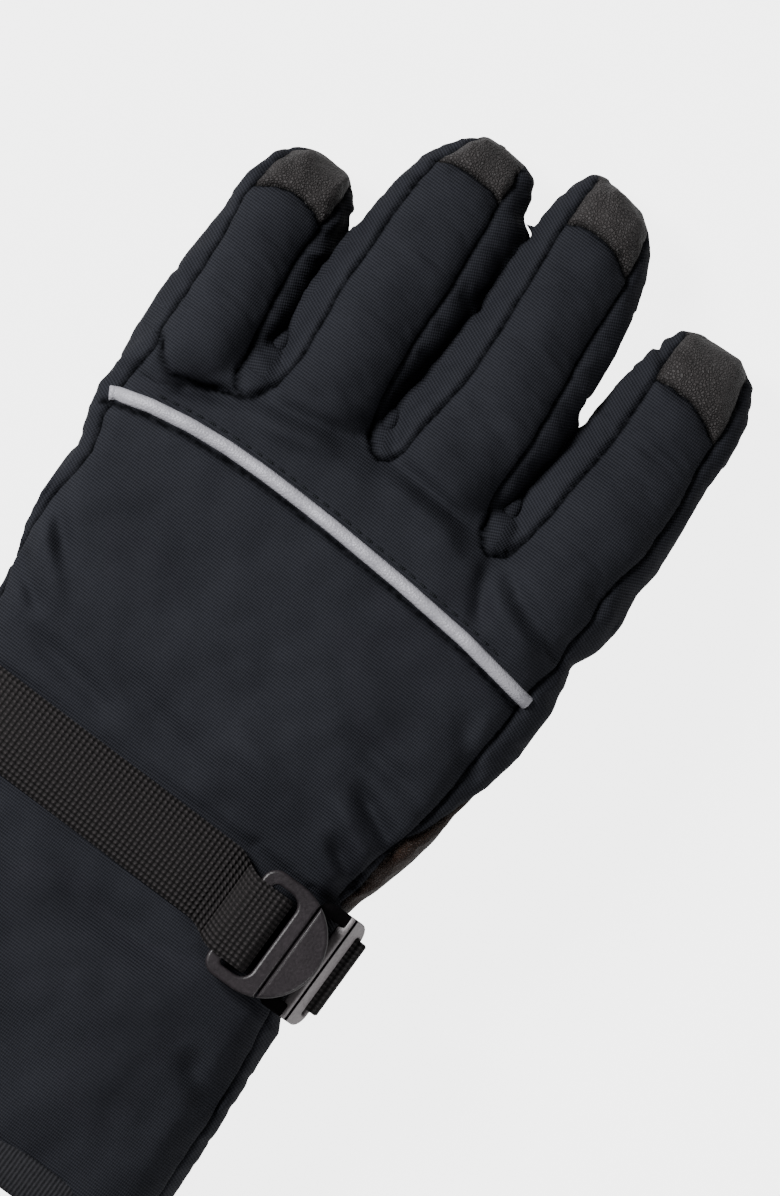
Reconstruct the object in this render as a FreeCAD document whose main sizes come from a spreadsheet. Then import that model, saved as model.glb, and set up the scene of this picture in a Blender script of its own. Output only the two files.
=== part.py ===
import FreeCAD, Part
import math
import os
import Sketcher

# A left-hand ski glove lying palm down with its thumb folded under the palm.
# While it is drawn, +X is the index-finger side, +Y runs to the fingertips, +Z is the back of the
# hand, the wrist strap crosses at Y = 0 and the surface it lies on is Z = 0. All sizes are in mm.
# The last step moves every piece so that the middle of the whole glove's base is the origin.

doc = FreeCAD.newDocument("ski_glove")
sheet = doc.addObject("Spreadsheet::Sheet", "sizes")
pieces = []
rows = []

DRIVING_SIZES = {
    "shell_thick": 1.2,
    "hand_padding": 4.0,
    "finger_padding": 2.6,
    "lining_thick": 0.7,
    "knuckle_line_y": 94.0,
    "knuckle_line_z": 34.0,
    "palm_tilt": 5.0,
    "knuckle_high": 28.0,
    "knuckle_clear": 1.2,
    "palm_end_y": 81.0,
    "back_seam_left": -56.5,
    "back_seam_right": 57.5,
    "palm_seam_left": -50.0,
    "palm_seam_right": 56.0,
    "cuff_seam_left": -47.0,
    "cuff_seam_right": 50.0,
    "seam_level": 34.0,
    "cuff_seam_y": -13.0,
    "hem_y": -86.0,
    "hem_wide": 8.0,
    "hem_over": 2.0,
    "hem_thick": 1.0,
    "mouth_least_wide": 88.0,
    "mouth_least_high": 30.0,
    "piping_wide": 3.4,
    "piping_thick": 1.2,
    "piping_arc": 320.0,
    "piping_top_x": -10.0,
    "piping_top_y": 82.0,
    "finger_seam_in": 3.0,
    "thumb_x": 44.0,
    "thumb_y": 42.0,
    "thumb_turn": 55.0,
    "thumb_base_radius": 15.0,
    "thumb_hole_radius": 11.0,
    "thumb_high": 18.0,
    "web_wide": 20.0,
    "web_thick": 1.6,
    "web_clear": 0.4,
    "web_middle_y": -4.7,
    "web_slant": 1.2,
    "web_end_gap": 3.0,
    "wrist_wide": 109.0,
    "wrist_high": 38.0,
    "wrist_corner": 17.0,
    "wrist_middle_x": 1.0,
    "wrist_middle_z": 30.0,
    "hook_bar_x": 36.35,
    "hook_bar_z": 53.6,
    "hook_bar_half": 1.65,
    "hook_loop_radius": 2.6,
    "hook_middle_y": -5.3,
    "hook_thick": 3.0,
    "hook_round": 14.4,
    "hook_slot_long": 22.7,
    "hook_slot_wide": 7.5,
    "hook_slot_corner": 1.0,
    "hook_corner": 3.6,
    "hook_end_x": 57.5,
    "hook_groove_at": 12.6,
    "hook_groove_wide": 1.0,
    "hook_groove_deep": 0.5,
    "hook_lip_at": 16.6,
    "hook_lip_thick": 2.0,
    "hook_lip_half": 7.0,
    "hook_lip_deep": 4.4,
    "fold_end_x": 31.0,
    "frame_long": 28.4,
    "frame_thick": 2.6,
    "frame_corner": 4.0,
    "frame_edge_x": 49.7,
    "frame_edge_z": 51.0,
    "frame_ahead": 1.0,
    "frame_flat": 8.0,
    "frame_flat_tilt": 25.0,
    "frame_wall": 10.5,
    "frame_wall_tilt": 68.0,
    "frame_bar": 3.4,
    "frame_catch_wide": 4.0,
    "frame_slot_at": 4.5,
    "frame_slot_wide": 3.0,
    "frame_window_long": 21.6,
    "side_loop_radius": 2.1,
    "side_rise_lean": 17.5,
    "side_rise_long": 17.6,
    "side_low_top": 24.5,
    "base_middle_x": 1.5,
    "base_middle_y": 48.13,
}

# Cross-sections, all rounded rectangles:
# distance along, width, height, corner radius, middle across, middle up, tilt.
HAND_SECTIONS = {
    "hem": (-86.0, 122.0, 54.0, 22.0, 2.5, 28.0, 0.0),
    "cuff": (-45.0, 116.0, 48.0, 20.0, 2.0, 30.0, 0.0),
    "wrist_low": (-15.0, 109.0, 38.0, 17.0, 1.0, 30.0, 0.0),
    "wrist_top": (11.0, 109.0, 38.0, 17.0, 1.0, 30.0, 0.0),
    "heel": (30.0, 116.0, 32.0, 14.0, 2.5, 36.6, 5.0),
    "palm": (50.0, 123.0, 31.0, 13.5, 2.6, 35.6, 5.0),
    "knuckles": (94.0, 131.0, 28.0, 13.0, 1.5, 34.1, 5.0),
}

# Each finger: knuckle across, turn towards the thumb side, droop, width at the knuckle, in the
# middle and at the tip, distance to the middle, to the cap's edge and to the end.
FINGERS = {
    "pinky": (-49.5, 0.0, 20.5, 29.0, 26.5, 23.0, 32.0, 45.6, 57.3),
    "ring": (-19.0, 0.0, 16.0, 30.4, 32.4, 26.0, 42.0, 73.4, 82.7),
    "middle": (14.4, -1.4, 16.5, 33.2, 31.0, 25.5, 43.0, 79.0, 91.8),
    "index": (49.7, -0.4, 22.0, 34.6, 33.4, 27.0, 36.0, 62.0, 77.4),
}
THUMB = (30.0, 29.0, 24.0, 30.0, 47.0, 58.0)


def put_sizes_in_sheet(sizes):
    """Adds each named size to the sheet, one to a row below the last."""
    for name, value in sizes.items():
        rows.append(name)
        row = len(rows)
        sheet.set("A%d" % row, name)
        sheet.set("B%d" % row, str(value))
        sheet.setAlias("B%d" % row, name)


def section_sizes(tube, station, values):
    fields = ("along", "wide", "high", "corner", "mid_x", "mid_z", "tilt")
    return {"%s_%s_%s" % (tube, station, field): value for field, value in zip(fields, values)}


def finger_sections(reach, middle, widths, highs, mid_z, start):
    """Sections from the base to a rounded fingertip, in the finger's own frame."""
    wide_base, wide_middle, wide_tip = widths
    high_base, high_tip = highs
    return {
        "base": (start, wide_base, high_base, 8.5, 0.0, mid_z, 0.0),
        "half": (middle, wide_middle, high_base, 8.5, 0.0, mid_z, 0.0),
        "tip_start": (reach - 9.0, wide_tip, high_tip, 8.0, 0.0, mid_z, 0.0),
        "tip_turn": (reach - 3.0, wide_tip - 3.0, high_tip - 2.4, 7.0, 0.0, mid_z, 0.0),
        "tip_end": (reach, wide_tip - 8.0, high_tip - 6.0, 5.4, 0.0, mid_z, 0.0),
    }


def add_sections(tube, sections):
    for station, values in sections.items():
        put_sizes_in_sheet(section_sizes(tube, station, values))


put_sizes_in_sheet(DRIVING_SIZES)
add_sections("hand", HAND_SECTIONS)
for finger, row in FINGERS.items():
    reach, middle = row[8], row[6]
    add_sections(finger, finger_sections(reach, middle, row[3:6], (28.0, 21.0), 0.0, -14.0))
add_sections("thumb", finger_sections(THUMB[5], THUMB[3], THUMB[0:3], (18.0, 17.4), 9.0, -15.0))
doc.recompute()


def size(name):
    return float(getattr(sheet, name))


def number(formula):
    """What a formula of sheet sizes comes to, worked out in a spare cell of the sheet."""
    sheet.set("D1", "=" + formula.replace("sizes.", ""))
    sheet.recompute()
    return float(sheet.get("D1"))


def origin_plane(body, role):
    return [plane for plane in body.Origin.OriginFeatures if plane.Role == role][0]


def rounded_outline(wide, high, corner):
    """Four lines and four corner arcs, in order round a rectangle centred on the sketch."""
    point = FreeCAD.Vector
    across, up = wide / 2 - corner, high / 2 - corner
    corners = ((across, -up, -90), (across, up, 0), (-across, up, 90), (-across, -up, 180))
    lines = (
        (-across, -high / 2, across, -high / 2),
        (wide / 2, -up, wide / 2, up),
        (across, high / 2, -across, high / 2),
        (-wide / 2, up, -wide / 2, -up),
    )
    outline = []
    for (x, y, start), (x0, y0, x1, y1) in zip(corners, lines):
        outline.append(Part.LineSegment(point(x0, y0, 0), point(x1, y1, 0)))
        circle = Part.Circle(point(x, y, 0), point(0, 0, 1), corner)
        outline.append(Part.ArcOfCircle(circle, math.radians(start), math.radians(start + 90)))
    return outline


def draw_rounded_rectangle(sketch, wide, high, corner, prefix=""):
    """Adds a fully constrained rounded rectangle; the three sizes are expressions."""
    start = sketch.GeometryCount
    outline = rounded_outline(number(wide), number(high), number(corner))
    sketch.addGeometry(outline, False)
    constraint = Sketcher.Constraint
    edge = [start + number for number in range(8)]
    rules = [constraint("Tangent", edge[i], 2, edge[(i + 1) % 8], 1) for i in range(8)]
    rules += [constraint("Horizontal", edge[0]), constraint("Vertical", edge[2])]
    rules += [constraint("Horizontal", edge[4]), constraint("Vertical", edge[6])]
    rules += [constraint("Equal", edge[1], edge[i]) for i in (3, 5, 7)]
    rules += [constraint("Symmetric", edge[0], 1, edge[4], 1, -1, 1)]
    sketch.addConstraint(rules)
    named = (
        ("wide", constraint("DistanceX", edge[6], 1, edge[2], 1, number(wide)), wide),
        ("high", constraint("DistanceY", edge[0], 1, edge[4], 1, number(high)), high),
        ("corner", constraint("Radius", edge[1], number(corner)), corner),
    )
    for name, rule, expression in named:
        place = sketch.addConstraint(rule)
        sketch.renameConstraint(place, prefix + name)
        sketch.setExpression("Constraints." + prefix + name, expression)


def section_sketch(body, tube, station, inset, follow_tip):
    label = "%s_%s" % (tube, station)
    sketch = body.newObject("Sketcher::SketchObject", "outline_" + label)
    sketch.AttachmentSupport = [(origin_plane(body, "XZ_Plane"), "")]
    sketch.MapMode = "FlatFace"
    prefix = "sizes.%s_" % label
    draw_rounded_rectangle(
        sketch,
        "%swide - 2 * (%s)" % (prefix, inset),
        "%shigh - 2 * (%s)" % (prefix, inset),
        "%scorner - (%s)" % (prefix, inset),
    )
    along = "-%salong" % prefix + (" + (%s)" % inset if follow_tip else "")
    sketch.setExpression(".AttachmentOffset.Base.x", prefix + "mid_x")
    sketch.setExpression(".AttachmentOffset.Base.y", prefix + "mid_z")
    sketch.setExpression(".AttachmentOffset.Base.z", along)
    sketch.setExpression(".AttachmentOffset.Rotation.Angle", prefix + "tilt")
    return sketch


def lofted(name, tube, stations, inset):
    """A solid through the tube's sections, drawn in by inset all round and at the fingertip."""
    body = doc.addObject("PartDesign::Body", name)
    sketches = [
        section_sketch(body, tube, station, inset, station.startswith("tip"))
        for station in stations
    ]
    loft = body.newObject("PartDesign::AdditiveLoft", name + "_loft")
    loft.Profile = sketches[0]
    loft.Sections = sketches[1:]
    loft.Ruled = True
    return body


def box(name, low, high):
    """A block between two corners; each coordinate is an expression or a number."""
    block = doc.addObject("Part::Box", name)
    for side, axis, start, end in zip(("Length", "Width", "Height"), "xyz", low, high):
        block.setExpression(side, "(%s) - (%s)" % (end, start))
        block.setExpression("Placement.Base." + axis, str(start))
    return block


def cylinder(name, radius, height, place):
    rod = doc.addObject("Part::Cylinder", name)
    rod.setExpression("Radius", radius)
    rod.setExpression("Height", height)
    rod.Placement = place
    return rod


def cut(name, base, tool):
    feature = doc.addObject("Part::Cut", name)
    feature.Base = base
    feature.Tool = tool
    return feature


def common(name, first, second):
    feature = doc.addObject("Part::Common", name)
    feature.Base = first
    feature.Tool = second
    return feature


def fuse(name, first, second):
    feature = doc.addObject("Part::Fuse", name)
    feature.Base = first
    feature.Tool = second
    return feature


def turned(x, y, z, axis, angle):
    direction = FreeCAD.Vector(*axis)
    return FreeCAD.Placement(FreeCAD.Vector(x, y, z), FreeCAD.Rotation(direction, angle))


def finish_piece(feature, label, place=FreeCAD.Placement()):
    """Names a finished piece and moves it to where it sits in the whole glove."""
    feature.Label = label
    shift = FreeCAD.Placement(
        FreeCAD.Vector(-size("base_middle_x"), -size("base_middle_y"), 0), FreeCAD.Rotation()
    )
    feature.Placement = shift.multiply(place).multiply(feature.Placement)
    pieces.append(feature)


# --- the hand and cuff: one tube in three layers -------------------------------------------------

HAND_STATIONS = tuple(HAND_SECTIONS)
SHELL = "sizes.shell_thick"
HAND_PAD = SHELL + " + sizes.hand_padding"
HAND_LINE = HAND_PAD + " + sizes.lining_thick"
FAR = 140


def knuckle_space():
    """The round space the four finger bases turn in, and the room they need under the palm."""
    tilt = size("palm_tilt")
    along_x = FreeCAD.Rotation(FreeCAD.Vector(0, 1, 0), 90 - tilt)
    reach = 90.0
    direction = along_x.multVec(FreeCAD.Vector(0, 0, 1))
    middle = FreeCAD.Vector(0, size("knuckle_line_y"), size("knuckle_line_z"))
    place = FreeCAD.Placement(middle - direction * reach, along_x)
    rod = cylinder(
        "knuckle_rod", "sizes.knuckle_high / 2 + sizes.knuckle_clear", str(2 * reach), place
    )
    low = (-FAR, "sizes.palm_end_y", -FAR)
    under = box("palm_end", low, (FAR, FAR, "sizes.knuckle_line_z"))
    return fuse("knuckle_space", rod, under)


def thumb_hole():
    place = turned(size("thumb_x"), size("thumb_y"), 5.0, (0, 0, 1), 0)
    return cylinder("thumb_hole", "sizes.thumb_hole_radius", "sizes.seam_level", place)


def build_hand():
    outer = lofted("hand_outer", "hand", HAND_STATIONS, "0")
    inner = lofted("hand_shell_inner", "hand", HAND_STATIONS, SHELL)
    padding_inner = lofted("hand_padding_inner", "hand", HAND_STATIONS, HAND_PAD)
    cavity = lofted("hand_cavity", "hand", HAND_STATIONS, HAND_LINE)
    space = knuckle_space()
    hole = thumb_hole()
    openings = fuse("hand_openings", space, hole)

    shell = cut("hand_shell", cut("hand_wall", outer, inner), openings)
    padding = cut("hand_pad", cut("hand_pad_wall", inner, padding_inner), openings)
    lining = cut("hand_line", cut("hand_line_wall", padding_inner, cavity), openings)
    finish_piece(padding, "hand_insulation")
    finish_piece(lining, "hand_lining")
    build_hand_panels(shell)
    build_piping(outer)
    build_hem(outer, cavity)


def build_hand_panels(shell):
    """The shell is sewn from back, palm and side panels that meet edge to edge at the seams."""
    level = "sizes.seam_level"
    cuff = "sizes.cuff_seam_y"
    piping = "sizes.piping_top_y - 4.6"
    back = ("sizes.back_seam_left", "sizes.back_seam_right")
    palm = ("sizes.palm_seam_left", "sizes.palm_seam_right")
    sleeve = ("sizes.cuff_seam_left", "sizes.cuff_seam_right")
    regions = {
        "knuckle_panel": ((back[0], piping, level), (back[1], FAR, FAR)),
        "back_panel": ((back[0], cuff, level), (back[1], piping, FAR)),
        "palm_panel": ((palm[0], cuff, -FAR), (palm[1], FAR, level)),
        "cuff_back_panel": ((sleeve[0], -FAR, level), (sleeve[1], cuff, FAR)),
        "cuff_palm_panel": ((sleeve[0], -FAR, -FAR), (sleeve[1], cuff, level)),
    }
    for label, (low, high) in regions.items():
        finish_piece(common(label + "_cut", shell, box(label + "_region", low, high)), label)

    above = box("back_region", (back[0], cuff, level), (back[1], FAR, FAR))
    below = box("palm_region", (palm[0], cuff, -FAR), (palm[1], FAR, level))
    sleeve_middle = box("sleeve_region", (sleeve[0], -FAR, -FAR), (sleeve[1], cuff, FAR))
    middle = fuse("middle_regions", fuse("panel_regions", above, below), sleeve_middle)
    sides = cut("hand_sides", shell, middle)
    side_regions = {
        "pinky_side_panel": ((-FAR, cuff, -FAR), (0, FAR, FAR)),
        "index_side_panel": ((0, cuff, -FAR), (FAR, FAR, FAR)),
        "cuff_pinky_side_panel": ((-FAR, -FAR, -FAR), (0, cuff, FAR)),
        "cuff_index_side_panel": ((0, -FAR, -FAR), (FAR, cuff, FAR)),
    }
    for label, (low, high) in side_regions.items():
        finish_piece(common(label + "_cut", sides, box(label + "_region", low, high)), label)


def build_piping(outer):
    """A raised strip over the back just below the knuckles, bowed towards the fingers."""
    raised = lofted("piping_outer", "hand", HAND_STATIONS, "-sizes.piping_thick")
    x, y = size("piping_top_x"), size("piping_top_y") - size("piping_arc")
    place = turned(x, y, size("seam_level"), (0, 0, 1), 0)
    reach = "sizes.piping_arc"
    disc = cylinder("piping_disc", reach, "60", place)
    core = cylinder("piping_core", reach + " - sizes.piping_wide", "60", place)
    low = ("sizes.back_seam_left", 60, "sizes.seam_level")
    strip = common(
        "piping_strip", cut("piping_ring", disc, core),
        box("piping_region", low, ("sizes.back_seam_right", FAR, FAR)),
    )
    band = cut("piping_band", raised, outer)
    finish_piece(common("piping_cut", band, strip), "reflective_piping")


def build_hem(outer, cavity):
    """Binding folded over the cuff's raw edge, open in the middle for the hand."""
    body = doc.addObject("PartDesign::Body", "hem_outer")
    sketch = body.newObject("Sketcher::SketchObject", "hem_outline")
    sketch.AttachmentSupport = [(origin_plane(body, "XZ_Plane"), "")]
    sketch.MapMode = "FlatFace"
    over = " + 2 * sizes.hem_thick"
    draw_rounded_rectangle(
        sketch, "sizes.hand_hem_wide" + over, "sizes.hand_hem_high" + over,
        "sizes.hand_hem_corner + sizes.hem_thick",
    )
    sketch.setExpression(".AttachmentOffset.Base.x", "sizes.hand_hem_mid_x")
    sketch.setExpression(".AttachmentOffset.Base.y", "sizes.hand_hem_mid_z")
    sketch.setExpression(
        ".AttachmentOffset.Base.z", "-sizes.hem_y - sizes.hem_wide + sizes.hem_over"
    )
    pad = body.newObject("PartDesign::Pad", "hem_pad")
    pad.Profile = sketch
    pad.setExpression("Length", "sizes.hem_wide")
    middle_x, middle_z = "sizes.hand_hem_mid_x", "sizes.hand_hem_mid_z"
    aside, aloft = "sizes.mouth_least_wide / 2", "sizes.mouth_least_high / 2"
    hole_low = (middle_x + " - " + aside, -FAR, middle_z + " - " + aloft)
    hole_high = (middle_x + " + " + aside, 0, middle_z + " + " + aloft)
    mouth = fuse("hem_mouth", cavity_mouth(), box("hem_middle", hole_low, hole_high))
    ring = cut("hem_ring", body, outer)
    finish_piece(cut("hem_binding_cut", ring, mouth), "hem_binding")


def cavity_mouth():
    """The hand opening carried on straight through the end of the cuff."""
    body = doc.addObject("PartDesign::Body", "mouth")
    sketch = body.newObject("Sketcher::SketchObject", "mouth_outline")
    sketch.AttachmentSupport = [(origin_plane(body, "XZ_Plane"), "")]
    sketch.MapMode = "FlatFace"
    inset = "(" + HAND_LINE + ")"
    draw_rounded_rectangle(
        sketch, "sizes.hand_hem_wide - 2 * " + inset, "sizes.hand_hem_high - 2 * " + inset,
        "sizes.hand_hem_corner - " + inset,
    )
    sketch.setExpression(".AttachmentOffset.Base.x", "sizes.hand_hem_mid_x")
    sketch.setExpression(".AttachmentOffset.Base.y", "sizes.hand_hem_mid_z")
    sketch.setExpression(".AttachmentOffset.Base.z", "-sizes.hem_y - 1")
    pad = body.newObject("PartDesign::Pad", "mouth_pad")
    pad.Profile = sketch
    pad.Length = 20
    return body


# --- fingers -------------------------------------------------------------------------------------

FINGER_STATIONS = ("base", "half", "tip_start", "tip_turn", "tip_end")
FINGER_PAD = SHELL + " + sizes.finger_padding"
FINGER_LINE = FINGER_PAD + " + sizes.lining_thick"


def finger_place(finger):
    """Where the finger's knuckle is, and its turn, tilt and droop."""
    across, turn, droop = FINGERS[finger][0:3]
    up = size("knuckle_line_z") + across * math.tan(math.radians(size("palm_tilt")))
    sideways = FreeCAD.Rotation(FreeCAD.Vector(0, 0, 1), -turn)
    tilted = FreeCAD.Rotation(FreeCAD.Vector(0, 1, 0), -size("palm_tilt"))
    drooped = FreeCAD.Rotation(FreeCAD.Vector(1, 0, 0), -droop)
    whole = sideways.multiply(tilted).multiply(drooped)
    return FreeCAD.Placement(FreeCAD.Vector(across, size("knuckle_line_y"), up), whole)


def rounded_base(finger):
    """All of the finger ahead of its knuckle and the round end that turns in the hand."""
    along_x = turned(-30, 0, 0, (0, 1, 0), 90)
    rod = cylinder(finger + "_knuckle", "sizes.knuckle_high / 2", "60", along_x)
    ahead = box(finger + "_ahead", (-30, 0, -30), (30, FAR, 30))
    return fuse(finger + "_extent", rod, ahead)


def finger_layers(finger, extents):
    """The four nested solids of a finger, each cut to its own extent at the base."""
    layers = []
    insets = ("0", SHELL, FINGER_PAD, FINGER_LINE)
    for number, (inset, extent) in enumerate(zip(insets, extents)):
        solid = lofted("%s_layer_%d" % (finger, number), finger, FINGER_STATIONS, inset)
        layers.append(common("%s_trimmed_%d" % (finger, number), solid, extent))
    return layers


def build_finger(finger):
    cap_edge = FINGERS[finger][7]
    place = finger_place(finger)
    outer, inner, pad_inner, cavity = finger_layers(finger, [rounded_base(finger)] * 4)
    shell = cut(finger + "_shell", outer, inner)
    finish_piece(cut(finger + "_padding", inner, pad_inner), finger + "_insulation", place)
    finish_piece(cut(finger + "_inside", pad_inner, cavity), finger + "_lining", place)

    half = "sizes.%s_half_wide / 2 - sizes.finger_seam_in" % finger
    left, right = "-(%s)" % half, half
    above = box(finger + "_above", (left, -30, 0), (right, cap_edge, 30))
    below = box(finger + "_below", (left, -30, -30), (right, cap_edge, 0))
    tip = box(finger + "_tip", (-30, cap_edge, -30), (30, FAR, 30))
    finish_piece(common(finger + "_back_cut", shell, above), finger + "_back_panel", place)
    finish_piece(common(finger + "_palm_cut", shell, below), finger + "_palm_panel", place)
    finish_piece(common(finger + "_cap_cut", shell, tip), finger + "_tip_cap", place)
    middle = fuse(finger + "_panels", above, below)
    walls = cut(finger + "_walls", shell, fuse(finger + "_not_walls", middle, tip))
    left_side = box(finger + "_left", (-40, -30, -30), (0, FAR, 30))
    right_side = box(finger + "_right", (0, -30, -30), (40, FAR, 30))
    finish_piece(common(finger + "_left_cut", walls, left_side), finger + "_outer_wall", place)
    finish_piece(common(finger + "_right_cut", walls, right_side), finger + "_inner_wall", place)


# --- thumb ---------------------------------------------------------------------------------------

def build_thumb():
    """The thumb lies flat under the palm; a round hole in its top opens into the hand."""
    extents = []
    for number, inset in enumerate(("0", SHELL, FINGER_PAD, FINGER_LINE)):
        radius = "sizes.thumb_base_radius - (%s)" % inset
        rod = cylinder("thumb_base_%d" % number, radius, "40", turned(0, 0, -10, (0, 0, 1), 0))
        ahead = box("thumb_ahead_%d" % number, (-30, 0, -10), (30, FAR, 30))
        extents.append(fuse("thumb_extent_%d" % number, rod, ahead))
    outer, inner, pad_inner, cavity = finger_layers("thumb", extents)
    up_hole = cylinder("thumb_entry", "sizes.thumb_hole_radius", "30", turned(0, 0, 9, (0, 0, 1), 0))
    shell = cut("thumb_shell", cut("thumb_wall", outer, inner), up_hole)
    padding = cut("thumb_padding", cut("thumb_pad_wall", inner, pad_inner), up_hole)
    lining = cut("thumb_inside", cut("thumb_line_wall", pad_inner, cavity), up_hole)

    place = turned(size("thumb_x"), size("thumb_y"), 0, (0, 0, 1), size("thumb_turn"))
    cap_edge = THUMB[4]
    half_high = "sizes.thumb_high / 2"
    above = box("thumb_above", (-40, -30, half_high), (40, cap_edge, 40))
    below = box("thumb_below", (-40, -30, -10), (40, cap_edge, half_high))
    tip = box("thumb_tip", (-40, cap_edge, -10), (40, FAR, 40))
    finish_piece(common("thumb_palm_cut", shell, above), "thumb_palm_panel", place)
    finish_piece(common("thumb_back_cut", shell, below), "thumb_back_panel", place)
    finish_piece(common("thumb_cap_cut", shell, tip), "thumb_tip_cap", place)
    finish_piece(padding, "thumb_insulation", place)
    finish_piece(lining, "thumb_lining", place)


# --- wrist strap and buckle ----------------------------------------------------------------------

def strap_ring():
    """A closed band round the wrist, the width of the webbing."""
    body = doc.addObject("PartDesign::Body", "strap_band")
    sketch = body.newObject("Sketcher::SketchObject", "strap_outline")
    sketch.AttachmentSupport = [(origin_plane(body, "XZ_Plane"), "")]
    sketch.MapMode = "FlatFace"
    for name, gap in (("out_", "(sizes.web_clear + sizes.web_thick)"), ("in_", "sizes.web_clear")):
        wide = "sizes.wrist_wide + 2 * " + gap
        high = "sizes.wrist_high + 2 * " + gap
        draw_rounded_rectangle(sketch, wide, high, "sizes.wrist_corner + " + gap, name)
    sketch.setExpression(".AttachmentOffset.Base.x", "sizes.wrist_middle_x")
    sketch.setExpression(".AttachmentOffset.Base.y", "sizes.wrist_middle_z")
    sketch.setExpression(
        ".AttachmentOffset.Base.z", "-sizes.web_middle_y - sizes.web_wide / 2"
    )
    pad = body.newObject("PartDesign::Pad", "strap_pad")
    pad.Profile = sketch
    pad.setExpression("Length", "sizes.web_wide")
    return body


def webbing_box(name, x0, z0, x1, z1):
    """A block of webbing across the strap's full width."""
    low_y = "sizes.web_middle_y - sizes.web_wide / 2"
    high_y = "sizes.web_middle_y + sizes.web_wide / 2"
    return box(name, (x0, low_y, z0), (x1, high_y, z1))


def webbing_tube(name, x, z, radius):
    """Webbing turned round a bar that runs along Y."""
    start = size("web_middle_y") - size("web_wide") / 2
    place = turned(x, start, z, (1, 0, 0), -90)
    around = cylinder(name + "_around", radius + " + sizes.web_thick", "sizes.web_wide", place)
    return cut(name, around, cylinder(name + "_bar", radius, "sizes.web_wide", place))


def build_wrist_strap(ring):
    """Webbing from the palm side over the back, round the hook's bar and back on itself."""
    bar_x, bar_z = "sizes.hook_bar_x", "sizes.hook_bar_z"
    radius = "sizes.hook_loop_radius"
    over_left = webbing_box("strap_left_region", -FAR, -10, "-sizes.web_end_gap", 70)
    over_top = webbing_box("strap_top_region", -10, "sizes.seam_level", bar_x, 70)
    kept = common("strap_main_part", ring, fuse("strap_regions", over_left, over_top))
    pivot = FreeCAD.Vector(size("hook_bar_x"), size("web_middle_y"), 0)
    slant = FreeCAD.Rotation(FreeCAD.Vector(0, 0, 1), -size("web_slant"))
    kept.Placement = FreeCAD.Placement(FreeCAD.Vector(0, 0, 0), slant, pivot)
    turn = common(
        "strap_turn", webbing_tube("strap_tube", size("hook_bar_x"), size("hook_bar_z"), radius),
        webbing_box("strap_turn_region", bar_x, 40, "sizes.hook_bar_x + 10", 70),
    )
    fold_low = bar_z + " + " + radius
    fold = webbing_box("strap_fold", "sizes.fold_end_x", fold_low, bar_x,
                       fold_low + " + sizes.web_thick")
    whole = fuse("strap_with_turn", kept, fuse("strap_turn_and_fold", turn, fold))
    finish_piece(whole, "wrist_strap")


def build_side_strap(ring):
    """Shorter webbing from the palm side up the index side, round the frame's lowest bar."""
    corner_x, corner_z = frame_bend()
    tilt = math.radians(size("frame_wall_tilt"))
    reach = (size("frame_slot_at") + size("frame_slot_wide") + size("frame_wall")) / 2
    drop = size("frame_thick") / 2
    bar_x = corner_x + reach * math.cos(tilt) - drop * math.sin(tilt)
    bar_z = corner_z - reach * math.sin(tilt) - drop * math.cos(tilt)
    radius = size("side_loop_radius")
    thick = size("web_thick")
    below = common(
        "side_strap_low", ring,
        webbing_box("side_strap_region", "sizes.web_end_gap", -10, FAR, "sizes.side_low_top"),
    )
    lean, long = size("side_rise_lean"), size("side_rise_long")
    rise = box(
        "side_strap_rise", (0, "sizes.web_middle_y - sizes.web_wide / 2", 0),
        ("sizes.web_thick", "sizes.web_middle_y + sizes.web_wide / 2", long),
    )
    top_x = bar_x + radius
    foot = FreeCAD.Vector(top_x - long * math.sin(math.radians(lean)), 0,
                          bar_z - long * math.cos(math.radians(lean)))
    rise.setExpression("Placement.Base.x", str(foot.x))
    rise.setExpression("Placement.Base.z", str(foot.z))
    rise.Placement.Rotation = FreeCAD.Rotation(FreeCAD.Vector(0, 1, 0), lean)
    turn = common(
        "side_strap_turn", webbing_tube("side_strap_tube", bar_x, bar_z, str(radius)),
        webbing_box("side_turn_region", bar_x - radius - thick, bar_z - 1.2, FAR, 70),
    )
    whole = fuse("side_strap_upper", rise, turn)
    finish_piece(fuse("side_strap_whole", below, whole), "side_strap")


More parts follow.
